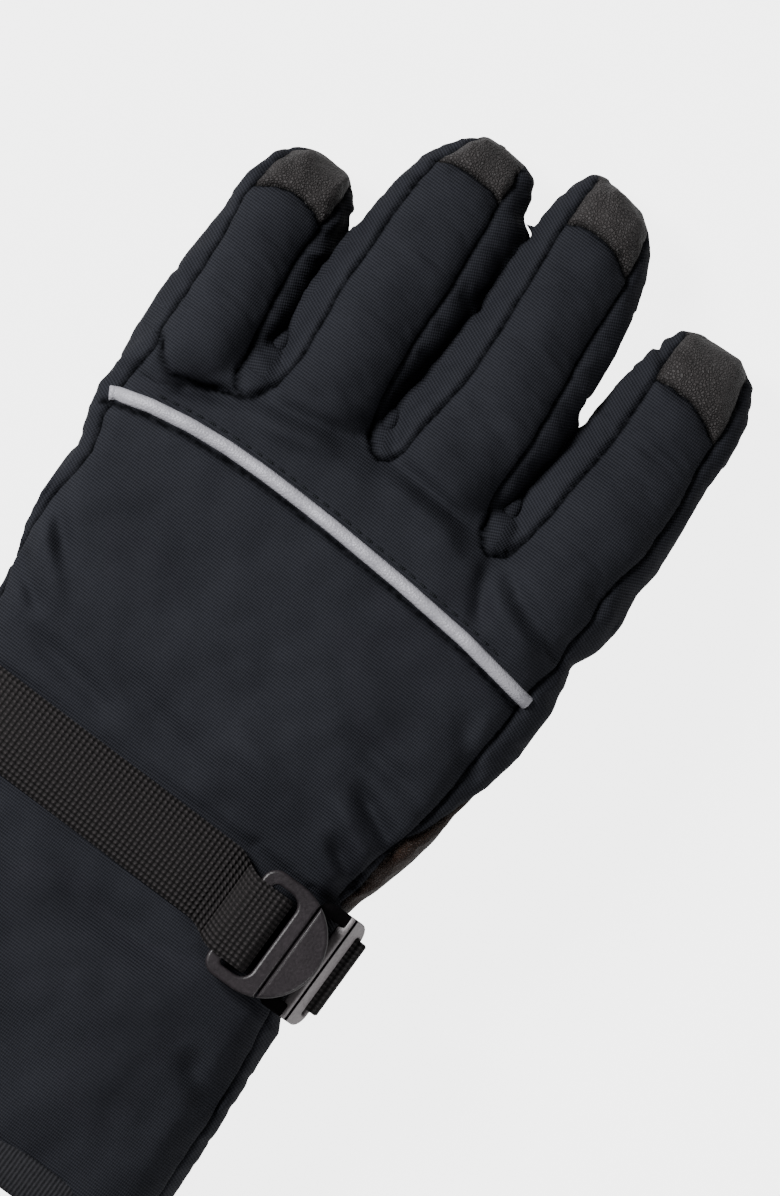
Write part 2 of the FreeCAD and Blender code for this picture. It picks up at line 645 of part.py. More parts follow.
def build_hook():
    """A moulded plate with a slot for the webbing, a half-round end and a lip under it."""
    body = doc.addObject("PartDesign::Body", "hook_plate")
    plate = body.newObject("Sketcher::SketchObject", "hook_outline")
    plate.AttachmentSupport = [(origin_plane(body, "XY_Plane"), "")]
    plate.MapMode = "FlatFace"
    point = FreeCAD.Vector
    radius = size("hook_round")
    middle = size("hook_end_x") - size("hook_bar_x") - radius
    left = -size("hook_bar_half")
    corner = size("hook_corner")
    up = point(0, 0, 1)
    quarter = math.pi / 2
    plate.addGeometry([
        Part.LineSegment(point(left + corner, -radius, 0), point(middle, -radius, 0)),
        Part.ArcOfCircle(Part.Circle(point(middle, 0, 0), up, radius), -quarter, quarter),
        Part.LineSegment(point(middle, radius, 0), point(left + corner, radius, 0)),
        Part.ArcOfCircle(
            Part.Circle(point(left + corner, radius - corner, 0), up, corner), quarter, math.pi),
        Part.LineSegment(point(left, radius - corner, 0), point(left, corner - radius, 0)),
        Part.ArcOfCircle(
            Part.Circle(point(left + corner, corner - radius, 0), up, corner),
            math.pi, 3 * quarter),
    ], False)
    rule = Sketcher.Constraint
    plate.addConstraint([rule("Tangent", i, 2, (i + 1) % 6, 1) for i in range(6)])
    plate.addConstraint([rule("Horizontal", 0), rule("Horizontal", 2), rule("Vertical", 4)])
    plate.addConstraint([rule("Equal", 3, 5), rule("PointOnObject", 1, 3, -1)])
    plate.addConstraint(rule("DistanceX", -1, 1, 1, 3, middle))
    plate.addConstraint(rule("DistanceX", 4, 1, -1, 1, -left))
    plate.addConstraint(rule("Radius", 3, corner))
    round_end = plate.addConstraint(rule("Radius", 1, radius))
    plate.renameConstraint(round_end, "round_end")
    plate.setExpression("Constraints.round_end", "sizes.hook_round")
    pad = body.newObject("PartDesign::Pad", "hook_pad")
    pad.Profile = plate
    pad.setExpression("Length", "sizes.hook_thick")
    slot = body.newObject("Sketcher::SketchObject", "hook_slot")
    slot.AttachmentSupport = [(origin_plane(body, "XY_Plane"), "")]
    slot.MapMode = "FlatFace"
    draw_rounded_rectangle(
        slot, "sizes.hook_slot_wide", "sizes.hook_slot_long", "sizes.hook_slot_corner"
    )
    slot.setExpression(".AttachmentOffset.Base.x", "sizes.hook_bar_half + sizes.hook_slot_wide / 2")
    pocket = body.newObject("PartDesign::Pocket", "hook_slot_cut")
    pocket.Profile = slot
    pocket.Type = "ThroughAll"
    pocket.Midplane = True
    groove_x, lip_x = "sizes.hook_groove_at", "sizes.hook_lip_at"
    groove = box(
        "hook_groove", (groove_x, "-sizes.hook_round", "sizes.hook_thick - sizes.hook_groove_deep"),
        (groove_x + " + sizes.hook_groove_wide", "sizes.hook_round", "sizes.hook_thick + 1"),
    )
    lip = box(
        "hook_lip", (lip_x, "-sizes.hook_lip_half", "-sizes.hook_lip_deep"),
        (lip_x + " + sizes.hook_lip_thick", "sizes.hook_lip_half", 1),
    )
    plate_with_lip = fuse("hook_with_lip", cut("hook_grooved", body, groove), lip)
    place = turned(size("hook_bar_x"), size("hook_middle_y"),
                   size("hook_bar_z") - size("hook_thick") / 2, (0, 0, 1), 0)
    finish_piece(plate_with_lip, "buckle_hook", place)


def frame_bend():
    """Where the frame's flat part turns down into its wall, across and up."""
    tilt = math.radians(size("frame_flat_tilt"))
    across = size("frame_edge_x") + size("frame_flat") * math.cos(tilt)
    return across, size("frame_edge_z") - size("frame_flat") * math.sin(tilt)


def frame_leaf(name, reach, window_start, window_wide):
    """One flat leaf of the frame with a window in it, running along X from its inner edge."""
    half_long = "sizes.frame_long / 2"
    half_open = "sizes.frame_window_long / 2"
    leaf = box(name + "_leaf", (0, "-" + half_long, "-sizes.frame_thick"), (reach, half_long, 0))
    window = box(
        name + "_window", (window_start, "-" + half_open, "-2 * sizes.frame_thick"),
        ("%s + %s" % (window_start, window_wide), half_open, "sizes.frame_thick"),
    )
    return cut(name, leaf, window)


def build_frame():
    """A moulded frame bent over the wrist's edge: the hook catches in its flat leaf, and the
    side webbing goes through the slot low in its steep wall."""
    flat = frame_leaf(
        "frame_flat_leaf", "sizes.frame_flat", "sizes.frame_bar", "sizes.frame_catch_wide"
    )
    flat.Placement = turned(0, 0, 0, (0, 1, 0), size("frame_flat_tilt"))
    wall = frame_leaf(
        "frame_wall_leaf", "sizes.frame_wall", "sizes.frame_slot_at", "sizes.frame_slot_wide"
    )
    bend_x, bend_z = frame_bend()
    wall.Placement = turned(
        bend_x - size("frame_edge_x"), 0, bend_z - size("frame_edge_z"),
        (0, 1, 0), size("frame_wall_tilt"),
    )

    outline = doc.addObject("PartDesign::Body", "frame_outline_block")
    sketch = outline.newObject("Sketcher::SketchObject", "frame_outline")
    sketch.AttachmentSupport = [(origin_plane(outline, "YZ_Plane"), "")]
    sketch.MapMode = "FlatFace"
    flat_drop = "sizes.frame_flat * sin(sizes.frame_flat_tilt)"
    wall_drop = "sizes.frame_wall * sin(sizes.frame_wall_tilt)"
    under = "sizes.frame_thick * cos(sizes.frame_wall_tilt)"
    high = "%s + %s + %s" % (flat_drop, wall_drop, under)
    draw_rounded_rectangle(sketch, "sizes.frame_long", high, "sizes.frame_corner")
    sketch.setExpression(".AttachmentOffset.Base.y", "-(%s) / 2" % high)
    sketch.setExpression(".AttachmentOffset.Base.z", "-sizes.frame_thick")
    pad = outline.newObject("PartDesign::Pad", "frame_outline_pad")
    pad.Profile = sketch
    pad.setExpression("Length", "sizes.frame_flat + sizes.frame_wall")
    rounded = common("frame_rounded", fuse("frame_leaves", flat, wall), outline)
    middle_y = size("hook_middle_y") + size("frame_ahead")
    place = turned(size("frame_edge_x"), middle_y, size("frame_edge_z"), (0, 0, 1), 0)
    finish_piece(rounded, "buckle_frame", place)


# --- build, check and write ----------------------------------------------------------------------

def save_all():
    """Stops on any piece with a fault, then writes one file for each piece."""
    for thing in doc.Objects:
        state = list(thing.State)
        if "Invalid" in state or "Error" in state:
            raise RuntimeError("%s did not build: %s" % (thing.Name, state))
    os.makedirs("parts", exist_ok=True)
    for piece in pieces:
        shape = piece.Shape
        if shape.isNull() or not shape.isValid() or not shape.Solids:
            raise RuntimeError("%s has a faulty shape" % piece.Label)
        shape.exportStep("parts/%s.step" % piece.Label)


build_hand()
for finger_name in FINGERS:
    build_finger(finger_name)
build_thumb()
band = strap_ring()
build_wrist_strap(band)
build_side_strap(band)
build_hook()
build_frame()
doc.recompute()
save_all()
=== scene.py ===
import math

import bpy
import numpy as np
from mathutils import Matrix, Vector, bvhtree, kdtree, noise


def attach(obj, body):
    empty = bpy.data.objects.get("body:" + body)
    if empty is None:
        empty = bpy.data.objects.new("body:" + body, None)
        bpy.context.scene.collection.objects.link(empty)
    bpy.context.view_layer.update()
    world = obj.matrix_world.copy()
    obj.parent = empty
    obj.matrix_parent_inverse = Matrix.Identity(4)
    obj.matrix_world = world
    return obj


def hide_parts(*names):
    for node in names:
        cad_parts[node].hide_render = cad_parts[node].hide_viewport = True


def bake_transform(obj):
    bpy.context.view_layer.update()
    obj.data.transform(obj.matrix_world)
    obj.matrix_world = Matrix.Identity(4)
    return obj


# A left-hand ski glove lying palm down, thumb folded under the palm.
# Sizes below are in mm in the glove's own frame: +X the index-finger side, +Y the fingertips,
# +Z the back of the hand, the wrist strap at Y = 0. to_row() turns them into the row frame.

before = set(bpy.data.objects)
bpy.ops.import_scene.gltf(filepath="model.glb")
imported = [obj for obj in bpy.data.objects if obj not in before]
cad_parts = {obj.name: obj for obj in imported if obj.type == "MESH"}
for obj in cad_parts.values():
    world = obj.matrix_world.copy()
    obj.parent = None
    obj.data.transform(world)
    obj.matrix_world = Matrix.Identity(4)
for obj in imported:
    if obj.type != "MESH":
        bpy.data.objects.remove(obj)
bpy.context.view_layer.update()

# The row frame's origin, seen in the glove's own frame.
ROW_ORIGIN = np.array([1.5, 48.13, 0.0])
# The line the fingers bend about, and how far the knuckles tilt down to the little finger.
KNUCKLE_Y = 94.0
PALM_TILT = math.radians(5.0)
# The finger panels start at this line.
SPLIT_Y = 98.0
# Edge of the small cubes that the shell is first built from.
VOXEL = 1.6
# How much narrower a finger is first drawn beside a neighbour, and how far inside its outline
# its sides are put at last.
SIDE_ROOM = 2.0
TOUCH = 0.1
# How the web between the fingers thins out: (along, inset).
WEB_STATIONS = [(97.0, 3.0), (99.5, 5.0), (101.5, 7.5), (102.8, 9.5), (104.5, 10.5), (106.0, 11.3)]
# Half width of the painted shade in a seam, and how near a border has to be to be laid on its seam.
SEAM_DARK = 0.55
SNAP = 0.8
# The folds' heights below are times this.
FOLD_DEEP = 2.5
# How far the faces where fingers touch lean over, per mm of height.
CONTACT_LEAN = 0.14
# Half a finger's thickness at the knuckle, and how much thinner that gets towards the tip.
FINGER_HALF = 14.3
FINGER_THINS = 3.3
# The round end of a finger starts this far before its sides begin to narrow.
TIP_BACK = 9.0
# The cloth simulation: enlarged this many times, for this many frames, and held to this many mm.
CLOTH_SCALE = 30.0
CLOTH_FRAMES = 14
CLOTH_REACH = 1.6
# The middle of the strap along Y, where the shell is kept even.
WRIST_Y = -1.6
# The little-finger side panel of the hand ends here.
PINKY_SIDE_END = 92
# The palm leather comes up over the index side between these.
LEATHER_START = 8
LEATHER_END = 56
# Where the cuff's own panels start, and the open edge of the cuff.
CUFF_Y = -13
MOUTH_Y = -86.0
# How far the shadowed edge is below the piping, and the stitch line above it.
TRIM_BELOW = 2.5
TRIM_ABOVE = 3.0

# Hand outline seen from above: (along, across) on the little-finger side and the index side.
HAND_LEFT = [(-86, -58.5), (-45, -56), (-13, -53.5), (10, -53.3), (24, -53.8), (30, -55.3),
             (38, -57.8), (46, -59), (57, -58.9), (60.5, -58.5), (64, -60), (69, -61.5),
             (75, -62.6), (80, -62.3), (90, -63.8), (100, -64)]
HAND_RIGHT = [(-86, 63), (-36, 59.7), (-22, 59), (-18, 57.3), (-10, 55.5), (6, 55.2), (13, 56.5),
              (17, 58), (23, 59.5), (28, 60.5), (35, 61.5), (43, 62.6), (52, 64.6), (62, 66),
              (75, 66.3), (82, 65), (85.5, 64.2), (93, 67), (101, 67.5)]
# Middle height, half height and tilt of the hand along Y.
HAND_LEVEL = [(-86, 28, 27, 0), (-45, 30, 24, 0), (-15, 30, 18.8, 0), (12, 30, 18.8, 0),
              (30, 36.4, 16, 4), (50, 35.6, 16, 5), (86, 34.1, 14.6, 5), (95, 34.1, 13, 5)]

# Each finger: knuckle across, droop in degrees, end of the finger, where the tip starts to
# narrow, and its two outlines as (along, across).
FINGERS = {
    "pinky": dict(
        across=-49.5, droop=20.5, end=147.8, narrows=137.0,
        left=[(84, -62.8), (100, -64), (112, -64.4), (125, -63.8), (129, -64.2), (134, -63.9),
              (142, -61.5), (145.5, -59), (147.8, -55)],
        right=[(84, -36), (95, -34.3), (104, -34.5), (112, -35.3), (120, -36.3), (130, -37.1),
               (137.5, -37.4), (142, -38.9), (145.5, -41.2), (147.8, -44)]),
    "ring": dict(
        across=-19.0, droop=16.0, end=173.9, narrows=161.0,
        left=[(84, -33.5), (95, -33.7), (104, -34), (112, -34.7), (120, -35.7), (130, -36.6),
              (138, -36.5), (147, -36), (155, -35), (161, -34), (166, -31.7), (170, -29),
              (172.4, -26.5), (173.5, -23.5), (173.9, -20)],
        right=[(84, -3), (99, -2.3), (105, -3.6), (110, -4.3), (115, -4.1), (120, -3.3),
               (130, -3), (140, -2.8), (150, -3.3), (158, -3.9), (163.5, -5.5), (168, -7),
               (171.6, -9), (173.1, -12.5), (173.9, -18)]),
    "middle": dict(
        across=14.4, droop=16.5, end=182.2, narrows=170.0,
        left=[(84, -2), (99, -1.9), (105, -3), (110, -3.7), (115, -3.5), (120, -2.7),
              (130, -2.4), (140, -2.2), (150, -2.7), (160, -3.3), (166, -3.3), (171, -2.8),
              (177, -1.5), (181, 0), (182.2, 3)],
        right=[(84, 31.6), (97, 32.2), (103, 31.2), (110, 30.7), (120, 31), (127, 31.4),
               (136, 30.8), (142, 30.3), (150, 29.5), (156, 28.5), (161, 27.5), (168, 25.5),
               (173, 23), (177, 20), (180, 15.5), (182.2, 7)]),
    "index": dict(
        across=49.7, droop=22.0, end=166.2, narrows=153.0,
        left=[(84, 33.2), (97, 32.8), (103, 31.8), (110, 31.3), (120, 31.6), (127, 32),
              (131, 32.5), (138, 33.2), (145, 34), (153, 35), (160, 36.3), (164.5, 38),
              (166.2, 42)],
        right=[(84, 64.5), (93, 67), (101, 67.6), (108, 66.5), (115, 67), (122, 66.5),
               (127, 66), (138, 65), (145, 64.7), (150, 64.3), (155, 63.5), (159, 62),
               (163, 59.7), (166.2, 54)]),
}
FINGER_ORDER = ("pinky", "ring", "middle", "index")

# Sewn seams on the back of the glove, as (across, along).
SEAMS = {
    "pinky_left": [(-56.5, 146.6), (-58.8, 144.5), (-60, 140), (-61.3, 133), (-61.8, 129),
                   (-61, 123), (-60.2, 115), (-59.7, 100), (-59.2, 92.8)],
    "pinky_right": [(-42.5, 146.6), (-41.3, 143), (-41.8, 139), (-42.5, 129), (-42, 122),
                    (-41, 113), (-40, 106), (-38.5, 96), (-37, 93), (-34.5, 91.8)],
    "ring_left": [(-25.5, 172.8), (-28, 170), (-30.5, 164), (-31.3, 155), (-31.4, 140),
                  (-31, 124), (-30, 117), (-29, 107), (-30, 99), (-32, 93.5), (-34.5, 91.8)],
    "ring_right": [(-13, 172.6), (-11.5, 169), (-12.2, 161), (-11.5, 153), (-10, 140),
                   (-9.3, 128), (-8.7, 120), (-7.5, 110), (-5.5, 102), (-3.6, 99.6), (-1.3, 99)],
    "middle_left": [(2, 181), (1.3, 176), (1.7, 167), (2.8, 155), (4, 139), (4.2, 124),
                    (3.4, 112), (2.5, 104), (1, 100), (-1.3, 99)],
    "middle_right": [(18.5, 177.6), (20.8, 172), (22.7, 165), (23.6, 155), (24.7, 140),
                     (25.6, 125), (26.3, 112), (26.8, 105), (28.5, 99), (30.5, 97), (32.7, 96.5)],
    "index_left": [(39.3, 164.8), (39.2, 159), (39.9, 151), (40.1, 140), (39.3, 126),
                   (38.3, 112), (37, 105), (35.3, 98.5), (32.7, 96.5)],
    "index_right": [(57.5, 163.8), (59.5, 158), (60.6, 151), (60.8, 141), (62, 130),
                    (62.4, 116), (61, 107), (60.9, 103), (62, 97), (61.5, 91), (62, 84),
                    (60.5, 79), (60, 72), (58.8, 60), (58.6, 48), (57.5, 40), (55.8, 30),
                    (54, 22), (52.5, 12)],
    "back_left": [(-59.2, 92.8), (-57.5, 89.5), (-58.2, 78), (-57.8, 69), (-55.3, 61),
                  (-55.8, 55), (-57.2, 47), (-56.8, 38), (-55, 30), (-52.5, 22), (-51.5, 12)],
    "pinky_base": [(-59.2, 92.8), (-57, 91.5), (-54.5, 88), (-51, 86), (-47, 87.2), (-42, 88.7),
                   (-37, 91.3), (-34.5, 91.8)],
    "cuff_left": [(-51, -13), (-52.5, -45), (-54.5, -79)],
    "cuff_right": [(52.8, -13), (55.3, -20), (57, -28), (57.8, -45), (60, -79)],
    "leather_edge": [(65.3, 56), (64, 49.5), (61.5, 41.5), (60, 38), (58, 34), (56.3, 31),
                     (55.8, 25), (55.5, 16), (54, 11)],
}
CAP_EDGES = {
    "pinky": [(-61.3, 132.5), (-57, 135.5), (-53, 136.7), (-50, 137), (-46, 136.3),
              (-42.2, 134.3)],
    "ring": [(-31, 162.3), (-28, 164), (-23, 164.8), (-16, 164.6), (-12.2, 163.2)],
    "middle": [(1.7, 168.2), (5, 169.7), (8, 170.2), (12, 170), (17, 169), (22.3, 166)],
    "index": [(39.9, 151.2), (44, 152), (50, 151.8), (56, 149.8), (60.6, 147.2)],
}
PIPING = [(-59.5, 74.3), (-58, 75.2), (-50, 77.5), (-40, 79.2), (-30, 80.1), (-20, 80.3),
          (-10, 80.1), (0, 79.7), (20, 78.4), (40, 76.5), (50, 74.9), (60.3, 73.2)]

# Folds in the cloth: start and end (across, along), half width and height (negative is a dip).
FOLDS = [
    # across the knuckles, at the roots of the fingers
    ((36, 95), (61, 85), 3.0, -1.4), ((38, 90), (58, 80), 4.0, 0.9),
    ((-32, 93), (-6, 99), 2.6, -1.5), ((1, 100), (28, 98), 2.6, -1.6),
    ((-30, 89), (-8, 94), 3.0, 0.7), ((3, 95), (28, 93), 3.0, 0.7),
    ((33, 95), (41, 80), 2.4, -1.1), ((-50, 84), (-36, 90), 2.0, -1.4),
    # at the index side of the back
    ((40, 35), (57, 27), 2.4, -1.5), ((38, 29), (56, 20), 2.6, 1.0),
    ((42, 22), (55, 14), 2.0, -1.3), ((30, 44), (58, 40), 3.0, -0.8),
    ((50, 62), (62, 50), 3.0, -0.8),
    # at the little-finger side of the back
    ((-57, 50), (-44, 36), 2.4, -1.2), ((-56, 42), (-40, 28), 2.8, 0.9),
    ((-55, 33), (-43, 24), 2.2, -1.2),
    # on the cuff's sides
    ((44, -38), (58, -46), 3.4, -1.2), ((-50, -30), (-34, -38), 3.5, -1.0),
    # above and below the strap
    ((-44, 20), (-14, 15), 3.0, -0.9), ((-20, 24), (10, 17), 4.0, -0.8),
    ((10, 28), (36, 20), 4.0, 0.7), ((-40, -20), (-10, -26), 4.0, -0.8),
    ((0, -24), (34, -22), 4.0, -0.9),
    # in the middle of the back
    ((-36, 62), (-10, 50), 7.0, -0.7), ((10, 46), (38, 56), 7.0, 0.6),
]


def to_row(points):
    """Glove millimetres to row-frame metres."""
    return (np.asarray(points, float).reshape(-1, 3) - ROW_ORIGIN) / 1000.0


def from_row(points):
    """Row-frame metres to glove millimetres."""
    return np.asarray(points, float).reshape(-1, 3) * 1000.0 + ROW_ORIGIN


def follow(points, along):
    """The value of an outline given as (along, value), between its points."""
    table = np.array(points, float)
    return np.interp(along, table[:, 0], table[:, 1])


def smoothstep(low, high, value):
    t = np.clip((value - low) / (high - low), 0.0, 1.0)
    return t * t * (3.0 - 2.0 * t)


def fade(distance, half_wide):
    """1 on a line, falling off smoothly on either side of it."""
    return np.exp(-((distance / half_wide) ** 2))


def add_object(name, data):
    thing = bpy.data.objects.new(name, data)
    bpy.context.scene.collection.objects.link(thing)
    return thing


def make_mesh(name, points, faces, in_mm=True):
    mesh = bpy.data.meshes.new(name)
    mesh.from_pydata((to_row(points) if in_mm else points).tolist(), [], [list(f) for f in faces])
    mesh.update()
    return add_object(name, mesh)


def shade_smooth(thing):
    thing.data.polygons.foreach_set("use_smooth", [True] * len(thing.data.polygons))


def oval(left, right, level, half_high, tilt, power=2.7, count=72):
    """A ring across the glove: a squarish oval, tilted about its middle."""
    turn = np.linspace(0, 2 * math.pi, count, endpoint=False)
    across = np.sign(np.cos(turn)) * np.abs(np.cos(turn)) ** (2 / power) * (right - left) / 2
    up = np.sign(np.sin(turn)) * np.abs(np.sin(turn)) ** (2 / power) * half_high
    x = (left + right) / 2 + across * math.cos(tilt) - up * math.sin(tilt)
    z = level + across * math.sin(tilt) + up * math.cos(tilt)
    return x, z


def tube(rings, closed=True):
    """Points and faces of a tube through (x, y, z) rings of equal length."""
    points = np.concatenate([np.stack(ring, 1) for ring in rings])
    count = len(rings[0][0])
    faces = []
    for ring in range(len(rings) - 1):
        for step in range(count):
            a = ring * count + step
            b = ring * count + (step + 1) % count
            faces.append((a, b, b + count, a + count))
    if closed:
        faces.append(tuple(range(count))[::-1])
        last = (len(rings) - 1) * count
        faces.append(tuple(range(last, last + count)))
    return points, faces


def hand_level(y, column):
    """One column of HAND_LEVEL at y: 1 the middle height, 2 the half height, 3 the tilt."""
    return np.interp(y, [row[0] for row in HAND_LEVEL], [row[column] for row in HAND_LEVEL])


def hand_ring(y, inset=0.0):
    left, right = follow(HAND_LEFT, y) + inset, follow(HAND_RIGHT, y) - inset
    tilt = math.radians(hand_level(y, 3))
    x, z = oval(left, right, hand_level(y, 1), hand_level(y, 2) - inset, tilt, 3.0)
    return x, np.full_like(x, y), z


def finger_level(name, y):
    """Height of the finger's middle: level with the hand at the knuckle, then drooping."""
    finger = FINGERS[name]
    start = 34.0 + finger["across"] * math.tan(PALM_TILT)
    return start - np.maximum(y - KNUCKLE_Y, 0) * math.tan(math.radians(finger["droop"]))


def finger_tube(name):
    finger = FINGERS[name]
    left_room = 0.0 if name == "pinky" else SIDE_ROOM
    right_room = 0.0 if name == "index" else SIDE_ROOM
    tip = np.linspace(finger["narrows"], finger["end"], 12)
    stations = np.concatenate([np.arange(84, finger["narrows"], 4.0), tip])
    rings = []
    for y in stations:
        left, right = follow(finger["left"], y), follow(finger["right"], y)
        part = max(0.0, (y - finger["narrows"]) / (finger["end"] - finger["narrows"]))
        thin = FINGER_HALF - FINGER_THINS * smoothstep(100, finger["narrows"], y)
        half_high = thin * max(0.22, math.sqrt(max(0.0, 1 - part ** 2.6)))
        left, right = left + left_room, right - right_room
        x, z = oval(left, right, finger_level(name, y), half_high, PALM_TILT, 2.5)
        rings.append((x, np.full_like(x, y), z))
    return tube(rings)


def joined(name, parts):
    points, faces, start = [], [], 0
    for part_points, part_faces in parts:
        points.append(part_points)
        faces += [tuple(i + start for i in face) for face in part_faces]
        start += len(part_points)
    return make_mesh(name, np.concatenate(points), faces)


def apply_modifiers(thing):
    bpy.context.view_layer.update()
    evaluated = thing.evaluated_get(bpy.context.evaluated_depsgraph_get())
    mesh = bpy.data.meshes.new_from_object(evaluated)
    old = thing.data
    thing.modifiers.clear()
    thing.data = mesh
    bpy.data.meshes.remove(old)


def remesh_evenly(thing, voxel):
    """Joins overlapping tubes into one closed surface of even four-cornered faces."""
    remesh = thing.modifiers.new("remesh", "REMESH")
    remesh.mode = "VOXEL"
    remesh.voxel_size = voxel / 1000.0
    apply_modifiers(thing)


def points_of(thing):
    flat = np.empty(len(thing.data.vertices) * 3)
    thing.data.vertices.foreach_get("co", flat)
    return from_row(flat)


def facing_of(thing, points):
    """Each face's four corners and its facing, a vector as long as twice its area."""
    corners = np.zeros(len(thing.data.loops), int)
    thing.data.loops.foreach_get("vertex_index", corners)
    corners = corners.reshape(-1, 4)
    a, b, c, d = corners.T
    return corners, np.cross(points[c] - points[a], points[d] - points[b])


def unit(vectors):
    return vectors / np.maximum(np.linalg.norm(vectors, axis=1), 1e-9)[:, None]


def normals_of(thing):
    """Smooth normals worked out from the points as they are now; every face has four corners."""
    points = points_of(thing)
    corners, facing = facing_of(thing, points)
    total = np.zeros_like(points)
    for corner in corners.T:
        np.add.at(total, corner, facing)
    return unit(total)


def face_normals(thing):
    return unit(facing_of(thing, points_of(thing))[1])


def set_points(thing, points):
    thing.data.vertices.foreach_set("co", to_row(points).ravel())
    thing.data.update()


def contact_line(left_finger, right_finger, y):
    """Where two neighbouring fingers touch."""
    first, second = FINGERS[left_finger]["right"], FINGERS[right_finger]["left"]
    return (follow(first, y) + follow(second, y)) / 2


def finger_numbers(points):
    """Which finger each point is nearest to, from above: 0 for the little finger to 3."""
    x, y = points[:, 0], points[:, 1]
    number = np.zeros(len(points), int)
    for left, right in zip(FINGER_ORDER, FINGER_ORDER[1:]):
        number += (x > contact_line(left, right, y)).astype(int)
    return number


def reach_of(points, y, step=2.0):
    """The least and greatest x of the points near each y."""
    slots = np.floor(points[:, 1] / step).astype(int)
    first, last = slots.min(), slots.max()
    low = np.full(last - first + 1, np.inf)
    high = np.full(last - first + 1, -np.inf)
    np.minimum.at(low, slots - first, points[:, 0])
    np.maximum.at(high, slots - first, points[:, 0])
    middles = (np.arange(first, last + 1) + 0.5) * step
    full = np.isfinite(low)
    return np.interp(y, middles[full], low[full]), np.interp(y, middles[full], high[full])


def fit_tip(finger, part):
    """Scales the points round a fingertip out from its middle until they fill the drawn tip."""
    start = finger["narrows"] - TIP_BACK
    middle = (follow(finger["left"], start) + follow(finger["right"], start)) / 2
    outline = dense(finger["left"] + finger["right"][::-1])
    outline = outline[outline[:, 0] > start - 3]
    drawn_turn = np.arctan2(outline[:, 1] - middle, outline[:, 0] - start)
    drawn_reach = np.hypot(outline[:, 1] - middle, outline[:, 0] - start)
    order = np.argsort(drawn_turn)
    ahead = part[:, 1] > start
    x, y = part[ahead, 0] - middle, part[ahead, 1] - start
    turn, reach = np.arctan2(x, y), np.hypot(x, y)
    _, most = reach_of(np.stack([reach, turn], 1), turn, math.radians(5.0))
    grow = np.interp(turn, drawn_turn[order], drawn_reach[order]) / np.maximum(most, 1.0)
    grow = 1 + (np.clip(grow, 0.8, 1.35) - 1) * smoothstep(0.1, 0.6, reach / most)
    part[ahead, 0] = middle + x * grow
    part[ahead, 1] = start + y * grow


def fit_outlines(points):
    """Moves points along and across until every finger and the hand have their drawn outline."""
    points = points.copy()
    numbers = finger_numbers(points)
    for number, name in enumerate(FINGER_ORDER):
        finger = FINGERS[name]
        chosen = (numbers == number) & (points[:, 1] > KNUCKLE_Y)
        part = points[chosen]
        stretch = smoothstep(finger["narrows"] - 12, finger["end"], part[:, 1])
        part[:, 1] += stretch * (finger["end"] - part[:, 1].max())
        low, high = reach_of(part, part[:, 1])
        left, right = follow(finger["left"], part[:, 1]), follow(finger["right"], part[:, 1])
        share = (part[:, 0] - low) / np.maximum(high - low, 1.0)
        fitted = left + TOUCH + share * (right - left - 2 * TOUCH)
        near_hand = smoothstep(KNUCKLE_Y + 2, KNUCKLE_Y + 10, part[:, 1])
        part[:, 0] += near_hand * (fitted - part[:, 0])
        fit_tip(finger, part)
        points[chosen] = part
    hand = points[:, 1] <= KNUCKLE_Y + 10
    part = points[hand]
    low, high = reach_of(part, part[:, 1])
    share = (part[:, 0] - low) / (high - low)
    left, right = follow(HAND_LEFT, part[:, 1]), follow(HAND_RIGHT, part[:, 1])
    before_fingers = 1 - smoothstep(KNUCKLE_Y, KNUCKLE_Y + 8, part[:, 1])
    part[:, 0] += before_fingers * (left + share * (right - left) - part[:, 0])
    points[hand] = part
    return points


# --- the sewn shell ------------------------------------------------------------------------------

def base_shell():
    """Hand, cuff and fingers as one closed surface."""
    stations = [MOUTH_Y - 2, MOUTH_Y] + list(np.arange(-82, 95, 4.0)) + [95.0]
    hand = [hand_ring(y) for y in stations]
    for y, inset in WEB_STATIONS:
        end = hand_ring(95.0, inset)
        hand.append((end[0], np.full_like(end[1], y), end[2]))
    parts = [tube(hand)] + [finger_tube(name) for name in FINGER_ORDER]
    shell = joined("shell", parts)
    remesh_evenly(shell, VOXEL)
    smooth = shell.modifiers.new("smooth", "SMOOTH")
    smooth.factor = 0.5
    smooth.iterations = 6
    apply_modifiers(shell)
    set_points(shell, fit_outlines(points_of(shell)))
    return shell


def dense(path, step=0.5):
    """The same path with a point every step."""
    path = np.array(path, float)
    lengths = np.concatenate([[0], np.cumsum(np.linalg.norm(np.diff(path, axis=0), axis=1))])
    marks = np.linspace(0, lengths[-1], max(2, int(lengths[-1] / step) + 1))
    return np.stack([np.interp(marks, lengths, path[:, i]) for i in range(path.shape[1])], 1)


def surface_tree(thing):
    return bvhtree.BVHTree.FromObject(thing, bpy.context.evaluated_depsgraph_get())


def drop_on(tree, path, from_below=False):
    """Lays an (across, along) path on the surface, seen from above or below."""
    laid = []
    height, way = (-50.0, 1.0) if from_below else (150.0, -1.0)
    for x, y in dense(path):
        start = Vector(to_row([(x, y, height)])[0])
        hit = tree.ray_cast(start, Vector((0, 0, way)))[0]
        if hit is not None:
            laid.append(from_row(hit)[0])
    return np.array(laid).reshape(-1, 3)


def nearest_tree(points):
    tree = kdtree.KDTree(len(points))
    for i, point in enumerate(points):
        tree.insert(point, i)
    tree.balance()
    return tree


def distance_to(points, curve):
    tree = nearest_tree(curve)
    return np.array([tree.find(point)[2] for point in points])


